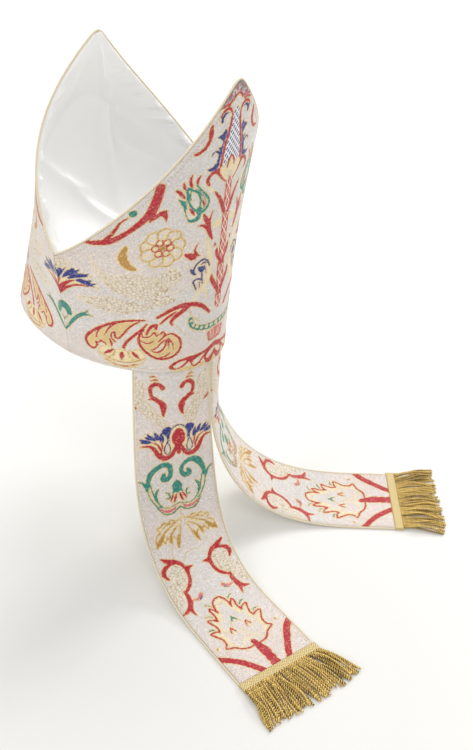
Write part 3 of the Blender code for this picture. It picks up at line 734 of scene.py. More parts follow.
def build_cloth(name, outer_rows, inner_rows, materials, weave_mm, channels):
    """Closed cloth piece from rows of an outer and an inner face, joined round their edges.

    Each row is (height, places across, points). The outer face carries the weave's attributes.
    """
    points, faces, kinds = [], [], []
    numbers = []
    for rows in (outer_rows, inner_rows):
        numbers.append([])
        for _, places, spots in rows:
            numbers[-1].append(list(range(len(points), len(points) + len(places))))
            points.extend(map(tuple, spots))

    def stitch(kind, flip, *rows):
        found = zip_rows(*rows)
        faces.extend([f[::-1] for f in found] if flip else found)
        kinds.extend([kind] * len(found))

    for side, rows in enumerate((outer_rows, inner_rows)):
        for k in range(len(rows) - 1):
            stitch(side, side == 1, numbers[side][k], rows[k][1], numbers[side][k + 1], rows[k + 1][1])
    outer, inner = numbers
    for k in (0, -1):
        stitch(0, k == 0, outer[k], outer_rows[k][1], inner[k], inner_rows[k][1])
    for k in (0, -1):
        stitch(0, k == -1, [row[k] for row in outer], [row[0] for row in outer_rows],
               [row[k] for row in inner], [row[0] for row in inner_rows])
    piece = solid_piece(name, points, faces, materials, kinds)
    count = sum(len(row[1]) for row in outer_rows)
    store_vectors(piece.data, "weave_mm", weave_mm, count)
    for i in range(0, len(channels), 3):
        group = channels[i:i + 3] + [np.zeros(count)] * (3 - len(channels[i:i + 3]))
        store_vectors(piece.data, "threads_%d" % (i // 3), np.stack(group, axis=1), count)
    return piece


def woven_cloth(name, outer, inner, flat, threads, warmth, groove=0.0):
    """Lined brocade whose figures stand out from its ground, and which sinks where it is stitched."""
    relief = RELIEF * ease(-np.min(list(threads.values()), axis=0) / 0.8 + 0.4) - groove
    start = 0
    for row in outer:
        count = len(row[1])
        row[2] = row[2] + row[3] * relief[start:start + count, None]
        start += count
    halo = np.min([threads[thread] for thread in BRIGHT_THREADS], axis=0)
    return build_cloth(name, [row[:3] for row in outer], [row[:3] for row in inner],
                       (brocade, lining), flat, [*threads.values(), halo, warmth])


def brocade_material():
    """Silk brocade: a silvery lilac-cream ground with figures in coloured weft.

    The eye sees a soft even sheen, stepped edges on the figures and a fine speckle of threads.
    """
    material, tree = start_material("Silk brocade")
    calc, times, plus, minus = maths_in(tree)
    mix = partial(mix_colours, tree)
    place = attribute(tree, "weave_mm", "Vector")
    across, up, _ = parts_of(tree, place)

    def mask(distance, soft):
        """1 inside a figure and 0 outside, with an edge this soft in millimetres."""
        return remap(tree, distance, (soft, -soft), interpolation_type="SMOOTHSTEP")

    snapped = add_node(tree, "ShaderNodeVectorMath", {0: place, 1: (THREAD_MM, 0.55, 1.0)},
                       operation="SNAP").outputs[0]
    speckle = add_node(tree, "ShaderNodeTexWhiteNoise", {"Vector": snapped}, noise_dimensions="3D")
    cell = speckle.outputs["Value"]
    tint = parts_of(tree, speckle.outputs["Color"])
    step = times(minus(cell, 0.5), 0.8)
    distances = {}
    names = [*THREADS, "halo", "warmth"]
    for i in range(0, len(names), 3):
        group = parts_of(tree, attribute(tree, "threads_%d" % (i // 3), "Vector"))
        distances.update(zip(names[i:i + 3], group))

    # Ground, cooler or pinker from band to band, with its speckle of gold, white, sage and grey threads
    def thread_share(channel, share):
        return mask(minus(1.0 - share, tint[channel]), 0.02)

    ground = mix(distances["warmth"], linear("#dcd8d9"), linear("#e8d7d1"))
    for channel, share, strength, hue in ((0, 0.20, 0.55, "#cdb489"), (1, 0.26, 0.75, "#f6f3ec"),
                                          (2, 0.14, 0.50, "#a5a9a6")):
        ground = mix(times(thread_share(channel, share), strength), ground, linear(hue))

    # Net of fine gold lines over cream, as feathers
    stretched = add_node(tree, "ShaderNodeMapping", {0: place, "Rotation": (0.0, 0.0, 0.45),
                                                     "Scale": (0.8, 1.5, 1.0)}).outputs[0]
    cells = add_node(tree, "ShaderNodeTexVoronoi", {"Vector": stretched, "Scale": 0.24, "Randomness": 0.75},
                     feature="DISTANCE_TO_EDGE").outputs["Distance"]
    cream = mix(0.55, ground, linear("#ece2cd"))
    feathers = mix(times(mask(minus(cells, 0.05), 0.035), 0.88), cream, linear("#b3924f"))

    # Dashes of the lattice
    rising = calc("SINE", times(plus(across, times(up, 0.9)), 1.45))
    falling = calc("SINE", times(minus(across, times(up, 0.9)), 1.15))
    dashes = times(mask(minus(0.0, rising), 0.3), mask(minus(-0.55, falling), 0.3))
    lattice = mix(dashes, linear("#f0eef2"), linear("#2f3a78"))

    # Scales of the tip, in red, grey green and plum
    scale_cells = add_node(tree, "ShaderNodeTexVoronoi", {"Vector": place, "Scale": 0.42, "Randomness": 0.5})
    pick = parts_of(tree, scale_cells.outputs["Color"])
    scales = mix(mask(minus(0.55, pick[0]), 0.05), linear("#a8536a"), linear("#7f9188"))
    scales = mix(mask(minus(0.75, pick[1]), 0.05), scales, linear("#d8c9c4"))

    # Plaited red column, crossed by cream strands
    def strand(phase, reach, half):
        wave = times(calc("SINE", plus(times(up, 0.30), phase)), reach)
        return mask(minus(calc("ABSOLUTE", minus(across, wave)), half), 0.25)

    strands = calc("MAXIMUM", strand(0.0, 2.6, 0.60), strand(math.pi, 2.6, 0.60))
    strands = calc("MAXIMUM", strands, times(strand(math.pi / 2.0, 1.2, 0.35), 0.7))
    hues = {"net": feathers, "lattice": lattice, "scales": scales,
            "braid": mix(strands, linear("#c43a38"), linear("#f3e2d2"))}
    hues.update((thread, linear(hue)) for thread, hue in (
        ("straw", "#eedcb2"), ("gold", "#e2c488"), ("rose", "#d9787c"), ("ochre", "#bf8f42"),
        ("red", "#b9222f"), ("teal", "#26897c"), ("blue", "#2c3684")))

    # Figures over the ground, with a gold outline round those in bright threads
    colour, figures = ground, None
    outline = mask(minus(calc("ABSOLUTE", minus(plus(distances["halo"], step), 0.45)), 0.6), 0.25)
    for name in THREADS:
        edge = mask(plus(distances[name], step), 0.16)
        colour = mix(edge, colour, hues[name])
        if name == "gold":
            colour = mix(times(outline, 0.85), colour, linear("#e6cf9a"))
        figures = edge if figures is None else calc("MAXIMUM", figures, edge)

    # A coloured weft lies in twill, 1.9 mm from ridge to ridge, and some threads of it are bound
    # down by a pale warp. Threads differ a little in lightness, and the cloth does over its width
    ridge = calc("SINE", times(plus(across, up), 2.0 * math.pi / 1.9))
    twill = times(times(ridge, 0.13), figures)
    colour = mix(times(times(thread_share(0, 0.07), figures), 0.45), colour, linear("#efe0cf"))
    light = remap(tree, cell, end=(0.78, 1.14))
    cloth = remap(tree, noise(tree, place, 0.045, 3.0), (0.3, 0.7), (0.96, 1.03))
    level = plus(times(light, cloth), twill)
    tone = add_node(tree, "ShaderNodeCombineXYZ", {0: level, 1: level, 2: level}).outputs[0]
    height = plus(plus(times(twill, 1.5), times(cell, 0.5)), times(figures, 0.5))
    coat(tree, {"Base Color": mix(1.0, colour, tone, "MULTIPLY"),
                "Roughness": remap(tree, figures, end=(0.62, 0.50)),
                "Normal": bumped(tree, height, 0.5, 0.00015), "Specular IOR Level": 0.35,
                "Sheen Weight": 0.12, "Sheen Roughness": 0.4})
    return material


def lining_material():
    """Cotton sateen lining: off-white, matt, with a fine diagonal twill."""
    material, tree = start_material("Cotton lining")
    place = own_place(tree)
    twill = add_node(tree, "ShaderNodeTexWave",
                     {"Vector": place, "Scale": 260.0, "Distortion": 0.6, "Detail": 1.0},
                     wave_type="BANDS", bands_direction="DIAGONAL").outputs["Fac"]
    colour = mix_colours(tree, noise(tree, place, 30.0, 3.0), linear("#e6e0d4"), linear("#f1ece2"))
    coat(tree, {"Base Color": colour, "Roughness": 0.8, "Normal": bumped(tree, twill, 0.25, 0.0001),
                "Specular IOR Level": 0.2})
    return material


def panel_heights(step):
    """Heights of a panel's rows, close together where the rim and the peak are rounded."""
    rim = [0.0, 0.00012, 0.00035, 0.0007]
    band = list(np.linspace(0.0012, NOTCH_HEIGHT, int(NOTCH_HEIGHT / step) + 1))
    top = PEAK_HEIGHT - PEAK_RADIUS
    horn = list(np.linspace(NOTCH_HEIGHT, top, int((top - NOTCH_HEIGHT) / step) + 1))[1:]
    fine = min(step, 0.0006)
    peak = list(np.linspace(top, PEAK_HEIGHT - 0.0002, int(PEAK_RADIUS / fine) + 1))[1:]
    return rim + band + horn + peak


def flat_places(across, up, from_edge):
    """Places of one row on the flat cloth in millimetres, from lengths in metres."""
    return np.stack([across, np.full(len(across), up), from_edge], axis=1) * 1000.0


def rim_tuck(height):
    """How far a face turns in towards the middle of the cloth close to the rim."""
    radius = 0.42 * PANEL_THICKNESS
    return radius - math.sqrt(max(radius ** 2 - max(radius - height, 0.0) ** 2, 0.0))


def panel_rows(face, step, inward):
    """Rows of a panel's outer or inner face, with the flat place of each spot."""
    rows, flat = [], []
    for height in panel_heights(step):
        half = edge_run(face, height)
        if height <= NOTCH_HEIGHT + SEAM_RISE:
            half = min(half, run_to_seam(face, height, inward))
        along = lattice_row(half, step)
        outward = outward_row(face, along, height)
        tuck = rim_tuck(height) * (1.0 if inward == 0.0 else -1.0)
        rows.append([height, along, outer_row(face, along, height) - outward * (inward + tuck), outward])
        flat.append(flat_places(along, height, half - np.abs(along)))
    return rows, np.concatenate(flat)


def make_panel(name, face):
    """Front or back horn in lined brocade, with a groove where its edges are stitched."""
    outer, flat = panel_rows(face, CLOTH_STEP, 0.0)
    inner, _ = panel_rows(face, LINING_STEP, PANEL_THICKNESS)
    across, up, from_edge = flat.T
    threads = weave(PANEL_CHART + rosette_chart(), across / CHART_STRETCH[face], up)
    on_horn = ease((up - NOTCH_HEIGHT * 1000.0) / 4.0)
    groove = np.exp(-((from_edge * EDGE_SLANT - HEM_STITCH_INSET_MM) / 0.8) ** 2) * on_horn
    warmth = np.interp(up + BAND_RISE * np.abs(across), *zip(*PANEL_BANDS))
    return woven_cloth(name, outer, inner, flat, threads, warmth, STITCH_GROOVE * groove)


brocade = brocade_material()
lining = lining_material()
panels = {}
for name, face in (("front_panel", FRONT), ("back_panel", BACK)):
    panels[face] = make_panel(name + "_brocade", face)
    dress(panels[face], name)

# Horn gusset
# One piece of white duchess satin from peak to peak, sewn inside both horns and dipping
# between them. It is slack, so it pulls into soft folds and puckers along its seams.

GUSSET_THICKNESS = 0.0006
GUSSET_HEM = 0.0015
TURN_IN = 0.0016
VALLEY_DIP = 0.028
VALLEY_LIFT = 0.088
VALLEY_LIFT_AT_SEAM = 0.003
GUSSET_COLUMNS = 150
GUSSET_ROWS = 230
SEAM_OVERLAP = 0.0005
PUCKER_DEPTH, PUCKER_START, PUCKER_REACH = 0.0066, 0.004, 0.011
FOLD_FADE = 0.006
PEAK_GAP, NOTCH_GAP = 0.0003, 0.0004
GUSSET_FOOT = NOTCH_HEIGHT + 0.4 * GUSSET_HEM
FOLD_SCALE = (0.090, PEAK_HEIGHT - NOTCH_HEIGHT)

# Painted shade: the satin's colour is darkened from the first height down to the second, where
# little light gets in between the horns
SATIN_PAINTED_SHADE_FROM, SATIN_DEEPEST_PAINTED_SHADE_AT = 0.225, 0.125
SATIN_DEEPEST_PAINTED_SHADE = 0.84

# Columns: start and end as shares across and up the front horn, width and height in metres
GUSSET_FOLDS = (
    (0.84, 0.350, 0.16, 0.300, 0.0034, 0.0024),
    (0.42, 0.340, -0.02, 0.120, 0.0040, 0.0022),
    (-0.34, 0.385, -0.71, 0.165, 0.0044, 0.0046),
    (-0.48, 0.440, -0.84, 0.230, 0.0060, -0.0050),
    (-0.36, 0.920, -0.46, 0.400, 0.0070, 0.0050),
    (-0.52, 0.560, 0.02, 0.210, 0.0044, 0.0044),
    (0.30, 0.950, 0.42, 0.560, 0.0100, 0.0018),
    (-0.97, 0.560, -0.80, 0.500, 0.0030, 0.0020),
    (0.97, 0.420, 0.80, 0.350, 0.0030, 0.0014),
    (0.98, 0.260, 0.86, 0.080, 0.0030, 0.0024),
)


def gusset_fold(across, up):
    """Height of the folds at one height of the front horn."""
    total = np.zeros(len(across))
    for x0, y0, x1, y1, width, rise in GUSSET_FOLDS:
        run = np.array(((x1 - x0) * FOLD_SCALE[0], (y1 - y0) * FOLD_SCALE[1]))
        spot = np.stack([(across - x0) * FOLD_SCALE[0], np.full(len(across), (up - y0) * FOLD_SCALE[1])])
        share = np.clip((spot[0] * run[0] + spot[1] * run[1]) / (run @ run), 0.0, 1.0)
        away = np.hypot(spot[0] - run[0] * share, spot[1] - run[1] * share)
        total += rise * np.sin(math.pi * share) ** 0.7 * np.exp(-np.abs(away / width) ** 1.3)
    return total


def across_normals(grid):
    """Unit normals of a grid of points."""
    normal = np.cross(np.gradient(grid, axis=1), np.gradient(grid, axis=0))
    return normal / np.maximum(np.linalg.norm(normal, axis=2), 1e-12)[:, :, None]


def make_gusset():
    """Satin from one peak down the inside of its horn, over the valley and up to the other."""
    inward = PANEL_THICKNESS + SEWN_CLEARANCE + GUSSET_THICKNESS / 2.0
    top = PEAK_HEIGHT - PEAK_GAP
    across = np.linspace(-1.0, 1.0, GUSSET_COLUMNS + 1)
    across = np.sin(across * math.pi / 2.0) * 0.35 + across * 0.65
    rows, folds = [], []
    for k in range(GUSSET_ROWS + 1):
        travel = 2.0 * k / GUSSET_ROWS - 1.0
        face = BACK if travel > 0.0 else FRONT
        up = abs(travel)
        height = GUSSET_FOOT + (top - GUSSET_FOOT) * up
        reach = edge_run(face, height) + SEAM_OVERLAP
        from_seam = (1.0 - np.abs(across)) * reach
        fold = np.zeros(len(across))
        if face == FRONT:
            fold = gusset_fold(across, up) * ease(from_seam / FOLD_FADE)
        gather = ((0.5 + 0.5 * math.sin(47.0 * up + 1.3 * math.sin(19.0 * up))) ** 3
                  + 0.3 * math.sin(113.0 * up) ** 2)
        slack = np.clip(from_seam / PUCKER_START, 0.0, 1.0) * np.exp(-from_seam / PUCKER_REACH)
        pucker = PUCKER_DEPTH * gather * slack * (1.0 - up)
        turned = 1.0 - ease(np.minimum(from_seam, PEAK_HEIGHT - height) / TURN_IN)
        along = across * reach
        outward = outward_row(face, along, height)
        depth = (inward + pucker) * (1.0 - turned) + 0.5 * PANEL_THICKNESS * turned
        on_panel = outer_row(face, along, height) - outward * depth[:, None]
        half_width = RIM_HALF_WIDTH * section_column(NOTCH_HEIGHT, 1) - NOTCH_GAP
        hollow = 1.0 - across ** 2
        valley = np.stack([across * half_width, np.full(len(across), SIDE_SEAM_SLOPE * NOTCH_HEIGHT),
                           NOTCH_HEIGHT + GUSSET_HEM - VALLEY_DIP * hollow], axis=1)
        lift = VALLEY_LIFT_AT_SEAM + (VALLEY_LIFT - VALLEY_LIFT_AT_SEAM) * hollow ** 0.9
        share = ease(up * (PEAK_HEIGHT - NOTCH_HEIGHT) / lift)[:, None]
        rows.append(lean_back(valley) * (1.0 - share) + on_panel * share)
        folds.append(np.where(fold < 0.0, fold * np.clip(5.0 * (1.0 - share[:, 0]), 0.0, 1.0), fold))
    middle = np.array(rows)
    hollow_side = across_normals(middle)
    hollow_side *= np.sign(hollow_side[GUSSET_ROWS // 4, GUSSET_COLUMNS // 2, 1])
    middle = middle + hollow_side * np.array(folds)[:, :, None]
    normal = across_normals(middle)
    faces = []
    columns = GUSSET_COLUMNS + 1
    size = columns * (GUSSET_ROWS + 1)
    for k in range(GUSSET_ROWS):
        for i in range(GUSSET_COLUMNS):
            a, b = k * columns + i, (k + 1) * columns + i
            faces.append((a, a + 1, b + 1, b))
            faces.append((size + a, size + b, size + b + 1, size + a + 1))
    sides = [(k * columns + i, columns, i > 0) for k in range(GUSSET_ROWS) for i in (0, GUSSET_COLUMNS)]
    sides += [(k * columns + i, 1, k > 0) for i in range(GUSSET_COLUMNS) for k in (0, GUSSET_ROWS)]
    for a, step, flip in sides:
        edge = (a, a + step, size + a + step, size + a)
        faces.append(edge[::-1] if flip else edge)
    half = GUSSET_THICKNESS / 2.0
    points = np.concatenate([(middle + normal * half).reshape(-1, 3),
                             (middle - normal * half).reshape(-1, 3)])
    return solid_piece("horn_gusset_satin", points.tolist(), faces, (satin,))


def satin_material():
    """Duchess satin: white with a soft broad gloss, painted shade in the valley, and fine threads up it."""
    material, tree = start_material("Duchess satin")
    place = own_place(tree)
    drawn_out = add_node(tree, "ShaderNodeMapping", {0: place, "Scale": (1.0, 1.0, 0.06)}).outputs[0]
    cloud = noise(tree, place, 22.0, 4.0)
    white = mix_colours(tree, cloud, linear("#f4f3f1"), linear("#faf9f7"))
    # Painted shade: the colour is scaled darker towards the valley
    painted_valley_shade = remap(tree, parts_of(tree, place)["Z"], (SATIN_DEEPEST_PAINTED_SHADE_AT, SATIN_PAINTED_SHADE_FROM),
                       (SATIN_DEEPEST_PAINTED_SHADE, 1.0))
    colour = add_node(tree, "ShaderNodeVectorMath", {0: white, "Scale": painted_valley_shade},
                      operation="SCALE").outputs[0]
    slack = bumped(tree, cloud, 0.25, 0.0012)
    coat(tree, {"Base Color": colour, "Roughness": 0.38,
                "Normal": bumped(tree, noise(tree, drawn_out, 900.0, 2.0), 0.06, 0.0001, Normal=slack),
                "Specular IOR Level": 0.6, "Sheen Weight": 0.1, "Sheen Roughness": 0.3})
    return material


satin = satin_material()
gusset = make_gusset()
dress(gusset, "horn_gusset")

# Edge pipings
# A cotton cord in cream-gold silk, sewn along the slanted edges of each horn and over its
# peak. The cover is wound on the slant, so fine lines run round it.

PIPING_RADIUS = 0.0010
PIPING_START = 0.0012
PIPING_INSET = 0.0009
PIPING_BITE = 0.0001
PIPING_PITCH = 0.009
PIPING_WRAP_PITCH = 0.0011
CORD_STEP = 0.0012
EDGE_STEP = 0.0010


def new_tree(name, **inputs):
    """Geometry Nodes tree with an input of each named kind, and each input's identifier."""
    tree = bpy.data.node_groups.new(name, "GeometryNodeTree")
    tree.interface.new_socket("Geometry", in_out="INPUT", socket_type="NodeSocketGeometry")
    keys = {}
    for label, kind in inputs.items():
        socket = tree.interface.new_socket(label, in_out="INPUT", socket_type="NodeSocket" + kind)
        keys[label] = socket.identifier
    tree.interface.new_socket("Geometry", in_out="OUTPUT", socket_type="NodeSocketGeometry")
    return tree, keys, tree.nodes.new("NodeGroupInput"), tree.nodes.new("NodeGroupOutput")


def finish_tree(tree, geometry, finish, result):
    """Real, smooth and dressed geometry, as the tree's result."""
    real = add_node(tree, "GeometryNodeRealizeInstances", {"Geometry": geometry})
    soft = add_node(tree, "GeometryNodeSetShadeSmooth", {"Geometry": real.outputs[0], "Shade Smooth": True})
    final = add_node(tree, "GeometryNodeSetMaterial", {"Geometry": soft.outputs[0], "Material": finish})
    tree.links.new(final.outputs[0], result.inputs[0])


def cord_tree():
    """Twisted cord along a curve: a lobed section that turns as it goes, rounded at both ends."""
    tree, keys, given, result = new_tree(
        "Twisted cord", Radius="Float", Strands="Int", Groove="Float", Pitch="Float", Step="Float",
        Corners="Int", Rounding="Float", Finish="Material")
    g = given.outputs
    calc, times, plus, minus = maths_in(tree)

    def stored(geometry, name, value, domain="POINT"):
        return add_node(tree, "GeometryNodeStoreNamedAttribute",
                        {"Geometry": geometry, "Name": name, "Value": value},
                        data_type="FLOAT", domain=domain).outputs[0]

    line = add_node(tree, "GeometryNodeResampleCurve",
                    {"Curve": g["Geometry"], "Length": g["Step"]}, mode="LENGTH")
    run = add_node(tree, "GeometryNodeSplineParameter").outputs["Length"]
    turn = calc("DIVIDE", times(run, 2.0 * math.pi), g["Pitch"])
    tilted = add_node(tree, "GeometryNodeSetCurveTilt", {"Curve": line.outputs[0], "Tilt": turn})
    whole = add_node(tree, "GeometryNodeSplineLength").outputs["Length"]
    to_end = calc("MINIMUM", run, minus(whole, run))
    rounding = calc("MAXIMUM", g["Rounding"], 0.00001)
    share = calc("MINIMUM", calc("DIVIDE", plus(to_end, times(g["Rounding"], 0.15)), rounding), 1.0)
    round_end = calc("SQRT", minus(1.0, calc("POWER", minus(1.0, share), 2.0)))
    thick = add_node(tree, "GeometryNodeSetCurveRadius", {"Curve": tilted.outputs[0], "Radius": round_end})
    random = add_node(tree, "FunctionNodeRandomValue", {"Seed": 4}, data_type="FLOAT").outputs[1]
    path = stored(stored(thick.outputs[0], "cord_run", run), "cord_shade", random, "CURVE")

    ring = add_node(tree, "GeometryNodeCurvePrimitiveCircle",
                    {"Resolution": g["Corners"], "Radius": g["Radius"]})
    around = add_node(tree, "GeometryNodeSplineParameter").outputs["Factor"]
    wave = calc("COSINE", times(times(around, 2.0 * math.pi), g["Strands"]))
    lobe = minus(1.0, times(g["Groove"], minus(0.5, times(wave, 0.5))))
    spot = add_node(tree, "GeometryNodeInputPosition").outputs[0]
    spread = add_node(tree, "ShaderNodeVectorMath", {0: spot, "Scale": lobe}, operation="SCALE").outputs[0]
    lobed = add_node(tree, "GeometryNodeSetPosition", {"Geometry": ring.outputs[0], "Position": spread})
    section = stored(lobed.outputs[0], "cord_turn", around)
    tube = add_node(tree, "GeometryNodeCurveToMesh",
                    {"Curve": path, "Profile Curve": section, "Fill Caps": True})
    finish_tree(tree, tube.outputs[0], g["Finish"], result)
    return tree, keys


def bake_nodes(name, source, tree, keys, values):
    """Plain mesh object that a tree makes from a source object, with its inputs set."""
    bpy.context.scene.collection.objects.link(source)
    modifier = source.modifiers.new(tree.name, "NODES")
    modifier.node_group = tree
    for label, value in values.items():
        modifier[keys[label]] = value
    bpy.context.view_layer.update()
    graph = bpy.context.evaluated_depsgraph_get()
    mesh = bpy.data.meshes.new_from_object(source.evaluated_get(graph), preserve_all_data_layers=True,
                                           depsgraph=graph)
    mesh.name = name
    bpy.data.objects.remove(source, do_unlink=True)
    return place_object(name, mesh)


def curve_of(name, lines):
    """Curve object with one open line for each list of points."""
    curve = bpy.data.curves.new(name, "CURVE")
    curve.dimensions = "3D"
    for points in lines:
        spline = curve.splines.new("POLY")
        spline.points.add(len(points) - 1)
        spline.points.foreach_set("co", np.c_[np.array(points, float), np.ones(len(points))].ravel())
    return bpy.data.objects.new(name, curve)


def evened(points, at, passes=3):
    """Points at even steps of a line, each one moved towards its neighbours, ends kept."""
    steps = np.linspace(0.0, at[-1], int(at[-1] / EDGE_STEP) + 1)
    points = np.stack([np.interp(steps, at, points[:, k]) for k in range(3)], axis=1)
    for _ in range(passes):
        points[1:-1] = 0.25 * points[:-2] + 0.5 * points[1:-1] + 0.25 * points[2:]
    return points


def edge_line(face, inward, off, rows=90):
    """Line along a horn's slanted edges and over its peak, off it by a distance."""
    start = NOTCH_HEIGHT + PIPING_START
    low = list(np.linspace(start, PEAK_HEIGHT - PEAK_RADIUS, rows))
    peak = [PEAK_HEIGHT - PEAK_RADIUS * (1.0 - math.sin(a)) for a in np.linspace(0.0, math.pi / 2.0, 9)[1:-1]]
    heights = low + peak + [PEAK_HEIGHT - 0.00002]
    sides = [(-1, h) for h in heights] + [(1, h) for h in reversed(heights)]
    edge, outward = [], []
    for side, height in sides:
        along = np.array([side * edge_run(face, height)])
        direction = outward_row(face, along, height)[0]
        edge.append(outer_row(face, along, height)[0] - direction * inward)
        outward.append(direction)
    edge = np.array(edge)
    at = np.concatenate([[0.0], np.cumsum(np.linalg.norm(np.diff(edge, axis=0), axis=1))])
    edge, outward = evened(edge, at), evened(np.array(outward), at)
    ahead = np.gradient(edge, axis=0)
    beyond = unit(np.cross(ahead, outward))
    beyond[beyond[:, 2] < 0.0] *= -1.0
    return edge + beyond * off


def piping_material():
    """Cream-gold silk over cord: a soft gloss, with fine slanted lines of the cover's threads."""
    material, tree = start_material("Silk piping")
    calc, times, _, _ = maths_in(tree)
    along = times(attribute(tree, "cord_run"), 2.0 * math.pi / PIPING_WRAP_PITCH)
    slant = calc("MULTIPLY_ADD", attribute(tree, "cord_turn"), 2.0 * math.pi * 3.0, along)
    share = remap(tree, calc("SINE", slant), (-1.0, 1.0))
    coat(tree, {"Base Color": mix_colours(tree, share, linear("#d9c79f"), linear("#f6ecd4")),
                "Roughness": 0.5, "Specular IOR Level": 0.4, "Sheen Weight": 0.15,
                "Normal": bumped(tree, share, 0.4, 0.0001)})
    return material


cord, cord_keys = cord_tree()
piping_silk = piping_material()


def make_piping(name, node, line, radius):
    """Corded edge along a line, in place of the CAD node."""
    piece = bake_nodes(name, curve_of(name + "_line", [line]), cord, cord_keys, {
        "Radius": radius, "Strands": 3, "Groove": 0.06, "Pitch": PIPING_PITCH, "Step": CORD_STEP,
        "Corners": 12, "Rounding": radius, "Finish": piping_silk})
    dress(piece, node)


for name, face in (("front_edge_piping", FRONT), ("back_edge_piping", BACK)):
    edge = edge_line(face, PIPING_INSET, PIPING_RADIUS - PIPING_BITE)
    make_piping(name + "_cord", name, edge, PIPING_RADIUS)

# Lappets
# Two lined bands of the same brocade, which hang from the back of the rim and run out over
# the floor. Each is interlined, so it bends smoothly, and has a thin cord along its sides.

LAPPET_WIDTH = 0.081
LAPPET_END_WIDTH = 0.086
LAPPET_LENGTH = 0.338
LAPPET_THICKNESS = 0.0024
LAPPET_TUCK = 0.020
LAPPET_GAP_AT_BACK = 0.0010
LAPPET_PIPING_RADIUS = 0.0010
CROSS_CURVE_LENGTH = 0.150
TURN_LENGTH = 0.270
PATH_STEPS = 400
EDGE_THINNING, THINNING_REACH = 0.0005, 0.0011

# Columns: name, side (+1 is the wearer's left), angle from the vertical at the rim, length of the
# sweep from hanging to lying, compass angle of the lying end, splay of the fringe's two ends
LAPPETS = (
    ("left", 1, 6.0, 0.209, 18.0, 12.0, -25.0),
    ("right", -1, -0.7, 0.268, -36.3, 13.0, -6.0),
)

PALMETTE_EYE = ((11.2, 75.6), (13.8, 82), (14, 87), (11.2, 90.8), (8.4, 87), (8.8, 82))

